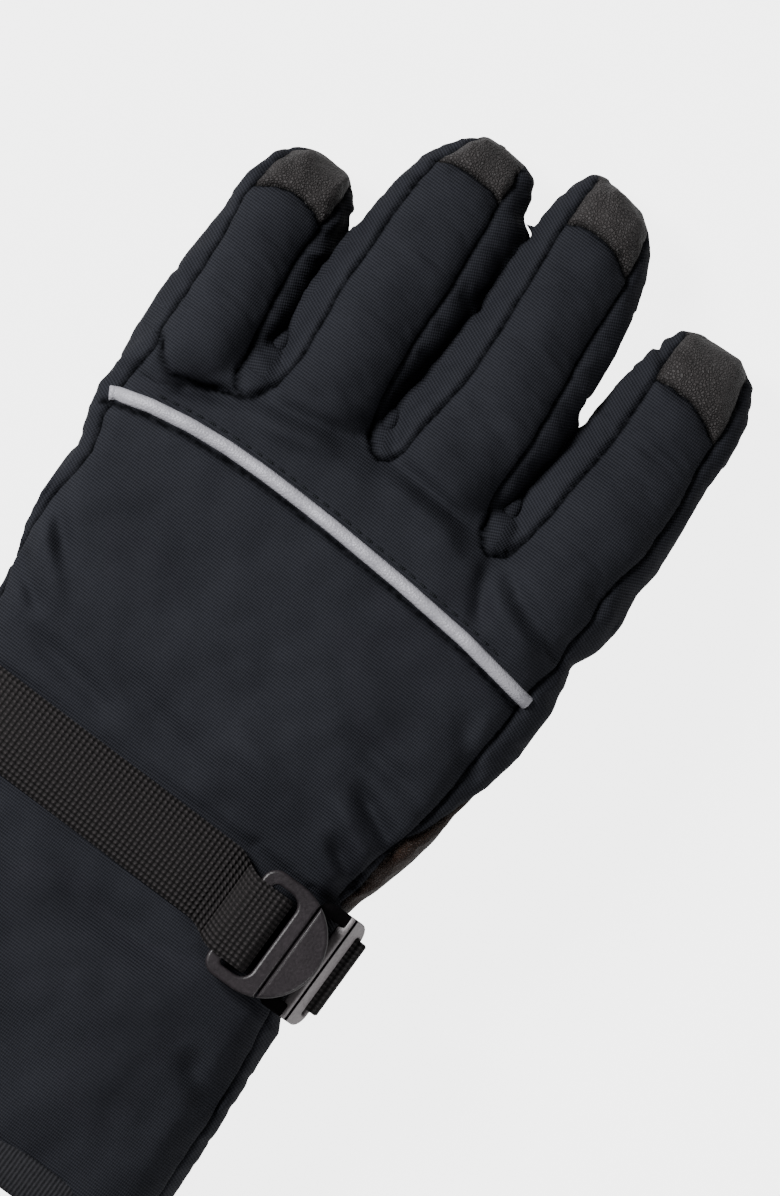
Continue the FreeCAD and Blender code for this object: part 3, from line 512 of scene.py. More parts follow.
def seam_curves(shell):
    """Every seam laid on the shell: the back's, and the matching ones on the palm side."""
    tree = surface_tree(shell)
    curves = {name: drop_on(tree, path) for name, path in SEAMS.items()}
    for name, path in CAP_EDGES.items():
        curves[name + "_cap"] = drop_on(tree, path)
    for name in SEAMS:
        if name.split("_")[0] in FINGERS and name != "pinky_base":
            curves[name + "_under"] = drop_on(tree, SEAMS[name][:9], from_below=True)
    return curves


def noise_at(points, scale, seed):
    offset = Vector((seed * 13.7, seed * 5.1, seed * 9.3))
    return np.array([noise.noise(Vector(p / scale) + offset) for p in points])


def fold_heights(points):
    x, y = points[:, 0], points[:, 1]
    height = np.zeros(len(points))
    for (x0, y0), (x1, y1), half_wide, high in FOLDS:
        length = math.hypot(x1 - x0, y1 - y0)
        along = ((x - x0) * (x1 - x0) + (y - y0) * (y1 - y0)) / length ** 2
        away = ((x - x0) * (y1 - y0) - (y - y0) * (x1 - x0)) / length
        ends = smoothstep(-0.15, 0.3, along) * (1 - smoothstep(0.7, 1.15, along))
        height += high * ends * fade(away, half_wide)
    return height * FOLD_DEEP


def puff_with_cloth(shell, pinned):
    """Lets air pressure fill the padded panels between the sewn lines."""
    start = points_of(shell)
    shell.data.vertices.foreach_set("co", (to_row(start) * CLOTH_SCALE).ravel())
    group = shell.vertex_groups.new(name="sewn")
    group.add([int(i) for i in np.flatnonzero(pinned)], 1.0, "REPLACE")
    cloth = shell.modifiers.new("cloth", "CLOTH")
    settings = cloth.settings
    settings.quality = 4
    settings.mass = 0.02
    settings.tension_stiffness = 12
    settings.compression_stiffness = 8
    settings.shear_stiffness = 4
    settings.bending_stiffness = 0.6
    settings.vertex_group_mass = "sewn"
    settings.shrink_min = -0.035
    settings.use_pressure = True
    settings.uniform_pressure_force = 6.0
    settings.effector_weights.gravity = 0.0
    cloth.collision_settings.use_collision = False
    cloth.point_cache.frame_start = 1
    cloth.point_cache.frame_end = CLOTH_FRAMES
    scene = bpy.context.scene
    for number in range(1, CLOTH_FRAMES + 1):
        scene.frame_set(number)
    evaluated = shell.evaluated_get(bpy.context.evaluated_depsgraph_get())
    flat = np.empty(len(shell.data.vertices) * 3)
    evaluated.data.vertices.foreach_get("co", flat)
    puffed = from_row(flat / CLOTH_SCALE)
    shell.modifiers.clear()
    shell.vertex_groups.clear()
    scene.frame_set(1)
    move = puffed - start
    size = np.linalg.norm(move, axis=1)
    print("cloth moved mm: mean %.2f, most %.2f" % (size.mean(), size.max()))
    move *= np.minimum(1.0, CLOTH_REACH / np.maximum(size, 1e-6))[:, None]
    set_points(shell, fit_outlines(start + move))


def trim_lines(shell):
    """Where the tape is sewn: the shadowed edge below the piping and the stitch line above it."""
    tree = surface_tree(shell)
    below = drop_on(tree, [(x, y - TRIM_BELOW) for x, y in PIPING])
    above = drop_on(tree, [(x, y + TRIM_ABOVE) for x, y in PIPING])
    return below, above


def sculpt(shell, curves):
    """Sewn grooves, puckers beside them, folds and unevenness. Returns the distances that set the
    painted shade: to the seams, and to the edge below the piping where a painted shadow lies.
    """
    points, normals = points_of(shell), normals_of(shell)
    distance = distance_to(points, np.concatenate(list(curves.values())))
    below, above = trim_lines(shell)
    from_below, from_above = distance_to(points, below), distance_to(points, above)
    on_top = 0.25 + 0.75 * smoothstep(0.0, 0.5, np.abs(normals[:, 2]))
    groove = 0.75 * fade(distance, 0.6) + 0.75 * np.exp(-distance / 2.2)
    puckers = 0.25 * noise_at(points, 3.4, 1) * fade(distance, 3.5)
    tucks = 0.8 * fade(from_below, 1.3) + 0.3 * fade(from_above, 0.8)
    uneven = 1.9 * noise_at(points, 19.0, 2) + 0.6 * noise_at(points, 7.5, 3)
    height = puckers * on_top - groove - tucks + uneven * on_top
    under_strap = np.exp(-(((points[:, 1] - WRIST_Y) / 12.0) ** 4))
    height *= 1 - 0.8 * under_strap
    points = points + normals * height[:, None]
    points[:, 2] += fold_heights(points) * smoothstep(0.1, 0.6, normals[:, 2])
    set_points(shell, lean_contacts(keep_apart(points)))
    # Painted shade: the seams, and a wider painted shadow along the edge below the piping.
    return np.minimum(distance, from_below * 0.7)


def lean_contacts(points):
    """Tips the faces where fingers touch, so one finger's side lies a little over the next."""
    points = points.copy()
    x, y, z = points.T.copy()
    for left, right in zip(FINGER_ORDER, FINGER_ORDER[1:]):
        line = contact_line(left, right, y)
        level = (finger_level(left, y) + finger_level(right, y)) / 2
        near = fade(x - line, 5.0) * smoothstep(KNUCKLE_Y - 2, KNUCKLE_Y + 8, y)
        gap = follow(FINGERS[right]["left"], y) - follow(FINGERS[left]["right"], y)
        near *= 1 - smoothstep(0.8, 2.5, gap)
        points[:, 0] += CONTACT_LEAN * np.clip(z - level, -8, 8) * near
    return points


def keep_apart(points):
    """Holds each finger on its own side of the line where it touches its neighbour."""
    numbers = finger_numbers(points)
    beyond = points[:, 1] > KNUCKLE_Y + 9
    for number, name in enumerate(FINGER_ORDER):
        chosen = beyond & (numbers == number)
        y = points[chosen, 1]
        if name != "pinky":
            line = contact_line(FINGER_ORDER[number - 1], name, y)
            points[chosen, 0] = np.maximum(points[chosen, 0], line + 0.2)
        if name != "index":
            line = contact_line(name, FINGER_ORDER[number + 1], y)
            points[chosen, 0] = np.minimum(points[chosen, 0], line - 0.2)
    return points


def seam_at(name, y):
    """How far across a seam is at each y; the seam is read as a function of y."""
    path = np.array(SEAMS[name], float)
    order = np.argsort(path[:, 1], kind="stable")
    return np.interp(y, path[order, 1], path[order, 0])


def finger_panels(finger, x, y, z):
    """Which of a finger's panels each of these places on it belongs to."""
    above = z > finger_level(finger, y) + (x - FINGERS[finger]["across"]) * math.tan(PALM_TILT)
    edge = np.array(CAP_EDGES[finger], float)
    part = np.where(above, "_back_panel", "_palm_panel").astype(object)
    part[y > np.interp(x, edge[:, 0], edge[:, 1])] = "_tip_cap"
    part[x < seam_at(finger + "_left", y)] = "_outer_wall"
    part[x > seam_at(finger + "_right", y)] = "_inner_wall"
    return [finger + p for p in part]


def hand_panels(x, y, z):
    """Which of the hand's and the cuff's panels each of these places belongs to."""
    level = hand_level(y, 1) + x * math.tan(PALM_TILT) * smoothstep(12, 30, y)
    above = z > level - 3
    piping = np.array(PIPING, float)
    knuckle = y > np.interp(x, piping[:, 0], piping[:, 1])
    cuff = y < CUFF_Y
    left = np.where(cuff, seam_at("cuff_left", y), seam_at("back_left", y))
    right = np.where(cuff, seam_at("cuff_right", y), seam_at("index_right", y))
    at_side = {"pinky": (x < left) & (y <= PINKY_SIDE_END), "index": x > right}
    part = np.where(cuff, "cuff_back_panel", np.where(knuckle, "knuckle_panel", "back_panel"))
    part = part.astype(object)
    for side, chosen in at_side.items():
        part[chosen & cuff] = "cuff_%s_side_panel" % side
        part[chosen & ~cuff] = side + "_side_panel"
    in_leather = (y > LEATHER_START) & (y < LEATHER_END)
    leather = (x > seam_at("leather_edge", y)) & in_leather & (z > level)
    part[(~above | leather) & ~cuff] = "palm_panel"
    part[~above & cuff] = "cuff_palm_panel"
    return part


def panel_names(centres):
    """Which panel each face of the shell belongs to, from the middle of the face."""
    names = np.empty(len(centres), object)
    numbers = finger_numbers(centres)
    on_finger = centres[:, 1] > SPLIT_Y
    for number, finger in enumerate(FINGER_ORDER):
        mine = on_finger & (numbers == number)
        names[mine] = finger_panels(finger, *centres[mine].T)
    names[~on_finger] = hand_panels(*centres[~on_finger].T)
    return names


def average_of_neighbours(points, edges):
    total = np.zeros_like(points)
    np.add.at(total, edges[:, 0], points[edges[:, 1]])
    np.add.at(total, edges[:, 1], points[edges[:, 0]])
    count = np.bincount(edges.ravel(), minlength=len(points))
    return total / np.maximum(count, 1)[:, None], count


def panel_edges(mesh, names):
    """Every edge's ends, which edges divide two panels, and which of those are sewn."""
    counts = np.zeros(len(mesh.polygons), int)
    mesh.polygons.foreach_get("loop_total", counts)
    corner_edges = np.zeros(len(mesh.loops), int)
    mesh.loops.foreach_get("edge_index", corner_edges)
    kinds, codes = np.unique(names.astype(str), return_inverse=True)
    bodies = np.array([body_of_panel(kind) for kind in kinds])
    corner_codes = np.repeat(codes, counts)
    low = np.full(len(mesh.edges), 10 ** 6)
    high = np.full(len(mesh.edges), -1)
    np.minimum.at(low, corner_edges, corner_codes)
    np.maximum.at(high, corner_edges, corner_codes)
    edges = np.zeros(len(mesh.edges) * 2, int)
    mesh.edges.foreach_get("vertices", edges)
    divides = low != high
    return edges.reshape(-1, 2), divides, divides & (bodies[low] == bodies[high])


def untangle(shell, edges, normals):
    """Evens out the faces that moving the borders turned away from their first normals."""
    corners = [tuple(polygon.vertices) for polygon in shell.data.polygons]
    for _ in range(14):
        turned = np.flatnonzero((face_normals(shell) * normals).sum(1) < 0.5)
        if len(turned) == 0:
            return
        touched = sorted({v for i in turned for v in corners[i]})
        points = points_of(shell)
        middle, _ = average_of_neighbours(points, edges)
        points[touched] = points[touched] * 0.3 + middle[touched] * 0.7
        set_points(shell, points)


def lay_borders(shell, names, curves):
    """Evens out the lines between panels and lays the sewn ones on their seams."""
    edges, divides, sewn = panel_edges(shell.data, names)
    normals = face_normals(shell)
    tree = nearest_tree(np.concatenate([dense(curve, 0.1) for curve in curves.values()]))
    points = points_of(shell)
    border = np.zeros(len(points), bool)
    border[edges[divides].ravel()] = True
    on_seam = np.zeros(len(points), bool)
    on_seam[edges[sewn].ravel()] = True
    on_seam[edges[divides & ~sewn].ravel()] = False
    for _ in range(8):
        middle, degree = average_of_neighbours(points, edges[divides])
        inner = degree == 2
        points[inner] = (points[inner] + middle[inner]) / 2
        for i in np.flatnonzero(on_seam):
            spot, _, away = tree.find(points[i])
            if away < SNAP:
                points[i] = spot
    near = border.copy()
    for _ in range(3):
        near[edges[near[edges].any(1)].ravel()] = True
    loose = near & ~border
    for _ in range(6):
        middle, _ = average_of_neighbours(points, edges)
        points[loose] = (points[loose] + middle[loose]) / 2
    set_points(shell, points)
    untangle(shell, edges, normals)


def face_centres(shell):
    flat = np.empty(len(shell.data.polygons) * 3)
    shell.data.polygons.foreach_get("center", flat)
    return from_row(flat)


def cut_panel(name, points, faces, normals, distance):
    """One panel of a shell, keeping the whole shell's smooth normals across the cuts."""
    used = sorted({v for face in faces for v in face})
    place = {v: i for i, v in enumerate(used)}
    corners = [tuple(place[v] for v in face) for face in faces]
    panel = make_mesh(name + "_skin", points[used], corners)
    shade_smooth(panel)
    panel.data.normals_split_custom_set_from_vertices([tuple(n) for n in normals[used]])
    # The seam attribute is the painted shade: how much the seams, and the edge below the piping, are
    # painted darker.
    near = panel.data.attributes.new("seam", "FLOAT", "POINT")
    near.data.foreach_set("value", fade(distance[used], SEAM_DARK).astype(np.float32))
    return panel


def split_panels(shell, names, distance):
    """One object per panel; the closed end of the cuff is left out."""
    normals = normals_of(shell)
    points = points_of(shell)
    open_end = face_centres(shell)[:, 1] < MOUTH_Y + 0.4
    corners = [tuple(p.vertices) for p in shell.data.polygons]
    panels = {}
    for name in sorted(set(names)):
        faces = [corners[i] for i in np.flatnonzero((names == name) & ~open_end)]
        panels[name] = cut_panel(name, points, faces, normals, distance)
    bpy.data.objects.remove(shell)
    return panels


def body_of_panel(name):
    first = name.split("_")[0]
    return first if first in FINGERS and not name.endswith("side_panel") else "hand"


def kind_of_panel(name):
    if name.endswith("tip_cap"):
        return "leather"
    if name.endswith("palm_panel") and "cuff" not in name:
        return "palm_leather"
    if name.endswith("inner_wall"):
        return "cloth_inner"
    if name.endswith(("outer_wall", "side_panel")):
        return "cloth_outer"
    return "cloth_back"


def sewn_points(shell):
    """The points that the air pressure doesn't move: the seams, under the strap and the hem."""
    points = points_of(shell)
    sewn = distance_to(points, np.concatenate(list(seam_curves(shell).values()))) < 1.3
    sewn |= np.abs(points[:, 1] - WRIST_Y) < 11.5
    sewn |= points[:, 1] < -80
    return sewn


def build_shell():
    shell = base_shell()
    puff_with_cloth(shell, sewn_points(shell))
    divide = shell.modifiers.new("divide", "SUBSURF")
    divide.levels = divide.render_levels = 1
    apply_modifiers(shell)
    set_points(shell, fit_outlines(points_of(shell)))
    curves = seam_curves(shell)
    names = panel_names(face_centres(shell))
    lay_borders(shell, names, curves)
    distance = sculpt(shell, curves)
    tree = surface_tree(shell)
    for name, panel in split_panels(shell, names, distance).items():
        finish(panel, kind_of_panel(name))
        body = body_of_panel(name)
        hidden = [name]
        if body == "hand":
            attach(panel, "hand")
        else:
            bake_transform(panel)
            if name.endswith("back_panel"):
                hidden += [body + "_insulation", body + "_lining"]
        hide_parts(*hidden)
    return tree


# --- finishes ------------------------------------------------------------------------------------

materials = {}


def finish(thing, kind):
    thing.data.materials.clear()
    thing.data.materials.append(materials[kind])
    rest = thing.data.attributes.new("rest", "FLOAT_VECTOR", "POINT")
    flat = np.empty(len(thing.data.vertices) * 3, np.float32)
    thing.data.vertices.foreach_get("co", flat)
    rest.data.foreach_set("vector", flat)


class Shader:
    """A material with a few helpers for linking nodes."""

    def __init__(self, name, rough, shine=0.15):
        self.material = bpy.data.materials.new(name)
        self.material.use_nodes = True
        self.nodes = self.material.node_tree.nodes
        self.main = self.nodes["Principled BSDF"]
        self.main.inputs["Roughness"].default_value = rough
        self.main.inputs["Specular IOR Level"].default_value = shine

    def link(self, start, end):
        self.material.node_tree.links.new(start, end)

    def add(self, kind, **values):
        node = self.nodes.new(kind)
        for key, value in values.items():
            if key in node.inputs:
                node.inputs[key].default_value = value
            else:
                setattr(node, key, value)
        return node

    def coordinates(self, turn=(0, 0, 0)):
        """Where each point lay before any joint moved, so that the pattern bends with the cloth."""
        mapping = self.add("ShaderNodeMapping")
        mapping.inputs["Rotation"].default_value = turn
        place = self.add("ShaderNodeAttribute", attribute_name="rest")
        self.link(place.outputs["Vector"], mapping.inputs["Vector"])
        return mapping.outputs["Vector"]

    def strip_coordinates(self):
        """Along and across a strip of webbing."""
        return self.add("ShaderNodeTexCoord").outputs["UV"]

    def noise(self, vector, scale, detail=3.0):
        node = self.add("ShaderNodeTexNoise", Scale=scale, Detail=detail, Roughness=0.6)
        self.link(vector, node.inputs["Vector"])
        return node.outputs["Fac"]

    def bands(self, vector, pitch, direction="Y", distortion=0.0):
        """Parallel ribs of the given pitch in metres; at a scale of 1 they are 2 pi / 20 apart."""
        node = self.add("ShaderNodeTexWave", wave_type="BANDS", bands_direction=direction)
        node.inputs["Scale"].default_value = 2 * math.pi / (20 * pitch)
        node.inputs["Distortion"].default_value = distortion
        node.inputs["Detail Scale"].default_value = 0.6
        self.link(vector, node.inputs["Vector"])
        return node.outputs["Fac"]

    def cells(self, vector, scale, **values):
        node = self.add("ShaderNodeTexVoronoi", Scale=scale, **values)
        self.link(vector, node.inputs["Vector"])
        return node.outputs["Distance"]

    def combine(self, operation, first, second, third=0.0):
        node = self.add("ShaderNodeMath", operation=operation)
        node.inputs[2].default_value = third
        for value, socket in ((first, node.inputs[0]), (second, node.inputs[1])):
            if isinstance(value, (int, float)):
                socket.default_value = value
            else:
                self.link(value, socket)
        return node.outputs[0]

    def weighted(self, *parts):
        """The sum of some values, each times its weight."""
        total = None
        for value, weight in parts:
            scaled = self.combine("MULTIPLY", value, weight)
            total = scaled if total is None else self.combine("ADD", total, scaled)
        return total

    def ramp(self, value, *stops):
        node = self.add("ShaderNodeValToRGB")
        elements = node.color_ramp.elements
        while len(elements) < len(stops):
            elements.new(0.5)
        for element, (position, colour) in zip(elements, stops):
            element.position = position
            element.color = (*colour, 1.0)
        self.link(value, node.inputs["Fac"])
        return node.outputs["Color"]

    def darker(self, colour, amount, dark):
        """Goes from colour to dark; sockets 6 and 7 are the node's two colours, 2 its result."""
        node = self.add("ShaderNodeMix", data_type="RGBA")
        self.link(amount, node.inputs["Factor"])
        self.link(colour, node.inputs[6])
        node.inputs[7].default_value = (*dark, 1.0)
        return node.outputs[2]

    def attribute(self, name):
        return self.add("ShaderNodeAttribute", attribute_name=name).outputs["Fac"]

    def colour(self, socket):
        self.link(socket, self.main.inputs["Base Color"])

    def bump(self, height, distance):
        """Relief as deep as distance, in metres."""
        node = self.add("ShaderNodeBump", Strength=1.0, Distance=distance)
        self.link(height, node.inputs["Height"])
        self.link(node.outputs["Normal"], self.main.inputs["Normal"])


def cloth_material(name, turn):
    """Dark woven shell cloth with a fine rib, with painted shade in the seams and a painted shadow
    below the piping.
    """
    shader = Shader(name, 0.75, 0.05)
    place = shader.coordinates(turn)
    ribs = shader.bands(place, 0.00070, "Y", 0.6)
    cross = shader.bands(place, 0.00052, "X", 0.8)
    fuzz = shader.noise(place, 2600.0, 2.0)
    patches = shader.noise(place, 60.0, 4.0)
    weave = shader.weighted((ribs, 0.7), (cross, 0.3))
    shade = shader.weighted((weave, 0.45), (patches, 0.25), (fuzz, 0.3))
    colour = shader.ramp(shade, (0.25, (0.0085, 0.0089, 0.0114)), (0.75, (0.0270, 0.0283, 0.0350)))
    # Painted shade in the seams, broken up along them by noise.
    broken = shader.combine("MULTIPLY_ADD", shader.noise(place, 650.0, 1.0), 1.6, 0.3)
    shadow = shader.combine("MULTIPLY", shader.attribute("seam"), broken)
    shader.colour(shader.darker(colour, shadow, (0.0012, 0.0014, 0.0022)))
    shader.bump(shader.weighted((weave, 1.0), (fuzz, 0.5)), 0.00015)
    return shader.material


def leather_material(name, dark, light):
    """Leather with a fine pebbled grain, and painted shade in its seams."""
    shader = Shader(name, 0.5, 0.15)
    place = shader.coordinates()
    pebbles = shader.cells(place, 1400.0, feature="DISTANCE_TO_EDGE")
    fine = shader.noise(place, 2000.0, 4.0)
    patches = shader.noise(place, 110.0, 4.0)
    grain = shader.combine("MINIMUM", shader.combine("MULTIPLY", pebbles, 3.0), 0.8)
    height = shader.weighted((grain, 1.0), (fine, 0.5))
    shade = shader.weighted((height, 0.55), (patches, 0.4))
    colour = shader.ramp(shade, (0.28, dark), (0.6, light))
    # Painted shade in the seams goes towards this colour.
    shadow = tuple(part * 0.4 for part in dark)
    shader.colour(shader.darker(colour, shader.attribute("seam"), shadow))
    shader.bump(height, 0.0003)
    return shader.material


def webbing_material():
    """Ribbed nylon webbing: rows across the strap with small dark gaps between the yarns."""
    shader = Shader("webbing", 0.72)
    place = shader.strip_coordinates()
    rows = shader.bands(place, 0.0013, "X", 0.4)
    yarns = shader.bands(place, 0.0012, "Y", 0.5)
    fuzz = shader.noise(place, 2200.0, 3.0)
    height = shader.combine("MULTIPLY", shader.combine("ADD", rows, 0.35),
                            shader.combine("ADD", yarns, 0.45))
    shade = shader.weighted((height, 0.55), (fuzz, 0.35))
    dark, light = (0.0016, 0.0015, 0.0015), (0.036, 0.032, 0.033)
    shader.colour(shader.ramp(shade, (0.22, dark), (0.9, light)))
    shader.bump(height, 0.0004)
    return shader.material


def plastic_material(name, dark, light, rough, shine):
    """Moulded plastic, matte and faintly speckled."""
    shader = Shader(name, rough, shine)
    place = shader.coordinates()
    speckle = shader.noise(place, 1500.0, 3.0)
    wear = shader.noise(place, 160.0, 5.0)
    shade = shader.weighted((speckle, 0.6), (wear, 0.4))
    shader.colour(shader.ramp(shade, (0.3, dark), (0.75, light)))
    shader.bump(speckle, 0.00008)
    return shader.material


def piping_material():
    """Silver-grey reflective tape with a fine grid of beads."""
    shader = Shader("piping", 0.5)
    shader.main.inputs["Metallic"].default_value = 0.15
    place = shader.coordinates()
    beads = shader.cells(place, 1900.0)
    dirt = shader.noise(place, 240.0, 4.0)
    shade = shader.weighted((beads, 0.4), (dirt, 0.6))
    shader.colour(shader.ramp(shade, (0.2, (0.47, 0.465, 0.505)), (0.8, (0.31, 0.305, 0.34))))
    shader.bump(beads, 0.00012)
    return shader.material


def plain_cloth(name, dark, light, pitch):
    """A simple knitted or taped cloth for the binding, lining and thread."""
    shader = Shader(name, 0.85)
    place = shader.coordinates()
    ribs = shader.bands(place, pitch, "X", 1.0)
    fuzz = shader.noise(place, 1200.0, 4.0)
    shade = shader.weighted((ribs, 0.4), (fuzz, 0.6))
    shader.colour(shader.ramp(shade, (0.25, dark), (0.75, light)))
    shader.bump(shade, 0.0003)
    return shader.material


def make_materials():
    for name, turn in (("cloth_back", 0.0), ("cloth_inner", -0.45), ("cloth_outer", 0.4)):
        materials[name] = cloth_material(name, (0, 0, turn))
    for name, dark, light in (
            ("leather", (0.006, 0.0055, 0.0055), (0.045, 0.041, 0.041)),
            ("palm_leather", (0.006, 0.003, 0.002), (0.03, 0.017, 0.012))):
        materials[name] = leather_material(name, dark, light)
    materials["webbing"] = webbing_material()
    for name, dark, light, rough, shine in (
            ("plastic", (0.012, 0.010, 0.0115), (0.037, 0.031, 0.035), 0.4, 0.35),
            # Painted shade: the frame's black plastic painted near-black for its flat leaf under the
            # hook.
            ("plastic_painted_shade", (0.002, 0.002, 0.002), (0.006, 0.005, 0.006), 0.9, 0.02),
            # Painted highlight: the same black plastic painted light grey for the frame's steep wall.
            ("plastic_painted_highlight", (0.17, 0.155, 0.16), (0.36, 0.33, 0.34), 0.4, 0.35)):
        materials[name] = plastic_material(name, dark, light, rough, shine)
    materials["piping"] = piping_material()
    for name, dark, light, pitch in (
            ("binding", (0.008, 0.008, 0.01), (0.03, 0.03, 0.034), 0.001),
            ("lining", (0.012, 0.012, 0.014), (0.05, 0.05, 0.055), 0.0016),
            ("thread", (0.004, 0.005, 0.006), (0.016, 0.018, 0.022), 0.0006)):
        materials[name] = plain_cloth(name, dark, light, pitch)


# --- trim, lining and hem ------------------------------------------------------------------------

def build_piping(tree):
    """A flattened half-round strip laid along its path on the back."""
    path = drop_on(tree, PIPING)
    keep = np.linspace(0, len(path) - 1, 110).astype(int)
    path = path[keep]
    profile = [(-1.75, -0.9), (-1.7, 0.05), (-1.3, 0.75), (-0.5, 1.1), (0.5, 1.1), (1.3, 0.75),
               (1.7, 0.05), (1.75, -0.9)]
    rings = []
    for i, (x, y, z) in enumerate(path):
        step = path[min(i + 1, len(path) - 1)] - path[max(i - 1, 0)]
        step /= np.linalg.norm(step)
        side = np.array([-step[1], step[0], 0.0])
        side /= np.linalg.norm(side)
        up = np.cross(step, side)
        ring = np.array([path[i] + side * a + up * (b - 0.1) for a, b in profile])
        rings.append(tuple(ring.T))
    points, faces = tube(rings)
    strip = make_mesh("reflective_piping_skin", points, faces)
    shade_smooth(strip)
    finish(strip, "piping")
    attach(strip, "hand")
    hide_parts("reflective_piping")


def build_stitches(tree):
    """The row of thread stitches above the piping."""
    length, gap, radius, sink, step_long = 2.4, 1.0, 0.28, 0.1, 0.25
    path = [(x, y + TRIM_ABOVE) for x, y in PIPING[2:-1]]
    line = dense(drop_on(tree, path), step_long)
    every = int((length + gap) / step_long)
    points, faces = [], []
    for start in range(0, len(line) - every, every):
        piece = line[start:start + int(length / step_long) + 1]
        base = len(points)
        for i, centre in enumerate(piece):
            part = i / (len(piece) - 1)
            bulge = math.sin(math.pi * part)
            thick = radius * (0.35 + 0.65 * bulge ** 0.5)
            rise = radius * bulge - sink
            step = piece[min(i + 1, len(piece) - 1)] - piece[max(i - 1, 0)]
            side = np.array([-step[1], step[0], 0.0])
            side /= max(np.linalg.norm(side), 1e-9)
            for k in range(6):
                turn = k * math.pi / 3
                lift = np.array([0, 0, rise + thick * math.sin(turn)])
                points.append(centre + side * thick * math.cos(turn) + lift)
        for i in range(len(piece) - 1):
            for k in range(6):
                a, b = base + i * 6 + k, base + i * 6 + (k + 1) % 6
                faces.append((a, b, b + 6, a + 6))
    row = make_mesh("piping_stitches", np.array(points), faces)
    shade_smooth(row)
    finish(row, "thread")
    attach(row, "hand")


def build_gussets():
    """The strips of cloth that close the shell at the bottom of each gap between fingers."""
    middle_y, half_long, half_wide, half_high, count = 104.5, 6.5, 3.2, 5.0, 20
    turn = np.linspace(0, 2 * math.pi, count, endpoint=False)
    for left, right in zip(FINGER_ORDER, FINGER_ORDER[1:]):
        middle_x = float(contact_line(left, right, middle_y))
        middle_z = float(finger_level(left, middle_y) + finger_level(right, middle_y)) / 2
        rings = []
        for tip in np.linspace(-80, 80, 9):
            wide = math.cos(math.radians(tip))
            along = middle_y + half_long * math.sin(math.radians(tip))
            rings.append((middle_x + half_wide * wide * np.cos(turn), np.full(count, along),
                          middle_z + half_high * wide * np.sin(turn)))
        gusset = make_mesh("gusset_%s_%s" % (left, right), *tube(rings))
        shade_smooth(gusset)
        finish(gusset, "cloth_inner")
        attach(gusset, "hand")


def build_lining():
    """The knitted lining seen through the cuff's mouth, closed off deep inside the hand."""
    shell_and_padding = 6.0
    stations = [MOUTH_Y - 0.5] + list(np.arange(-84, 64, 6.0))
    rings = [hand_ring(y, shell_and_padding) for y in stations]
    points, faces = tube(rings, closed=False)
    count = len(rings[0][0])
    last = (len(rings) - 1) * count
    faces = [face[::-1] for face in faces] + [tuple(range(last, last + count))]
    lining = make_mesh("hand_lining_skin", points, faces)
    shade_smooth(lining)
    finish(lining, "lining")
    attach(lining, "hand")
    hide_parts("hand_lining", "hand_insulation")


def build_hem():
    """Tape folded over the raw edge of the cuff: its profile is (along, inset)."""
    profile = [(-78, 1.2), (-78, -0.5), (-78.6, -1.0), (-86.6, -1.0), (-88.0, 0.2), (-88.0, 5.6),
               (-87, 6.6), (-79, 6.6), (-78, 6.0), (-78, 1.2)]
    rings = []
    for y, inset in profile:
        ring = hand_ring(max(y, MOUTH_Y), inset)
        rings.append((ring[0], np.full_like(ring[0], y), ring[2]))
    points, faces = tube(rings, closed=False)
    hem = make_mesh("hem_binding_skin", points, faces)
    shade_smooth(hem)
    finish(hem, "binding")
    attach(hem, "hand")
    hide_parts("hem_binding")


# --- thumb ---------------------------------------------------------------------------------------

# The thumb is drawn lying along +Y about its root, then turned and moved under the palm.
THUMB_WIDE = [(-15, 1.5), (-14, 5.4), (-12, 9), (-8, 12.7), (-3, 14.7), (3, 15), (30, 14.6),
              (44, 12.8), (50, 11.4), (54, 9.4), (57, 6), (58.2, 2.5)]
THUMB_HIGH = [(-15, 3), (-13, 6.5), (-9, 8.4), (0, 9), (30, 9), (46, 8.4), (53, 6.8), (57, 4),
              (58.2, 2)]
THUMB_LEVEL = 9.0
THUMB_CAP_Y = 47.0
THUMB_ROOT = (44.0, 42.0)
THUMB_TURN = math.radians(55.0)
# The thumb's round base runs up into the hand: (height, radius).
THUMB_COLLAR = [(9, 12.5), (17, 12.5), (21, 11.6), (28, 11.8)]
# Points round each ring of the thumb, and the edge of the cubes it is built from.
THUMB_COUNT = 48
THUMB_VOXEL = 1.0


def thumb_shell():
    """Thumb and base as one closed surface, still lying along +Y."""
    stations = [*np.linspace(-15, 3, 12), *np.arange(8, 46, 5.0), *np.linspace(46, 58.2, 12)]
    rings = []
    for y in stations:
        half, high = follow(THUMB_WIDE, y), follow(THUMB_HIGH, y)
        x, z = oval(-half, half, THUMB_LEVEL, high, 0.0, 2.5, THUMB_COUNT)
        rings.append((x, np.full_like(x, y), z))
    turn = np.linspace(0, 2 * math.pi, THUMB_COUNT, endpoint=False)
    collar = [(radius * np.cos(turn), radius * np.sin(turn), np.full(THUMB_COUNT, float(z)))
              for z, radius in THUMB_COLLAR]
    thumb = joined("thumb", [tube(rings), tube(collar)])
    remesh_evenly(thumb, THUMB_VOXEL)
    return thumb


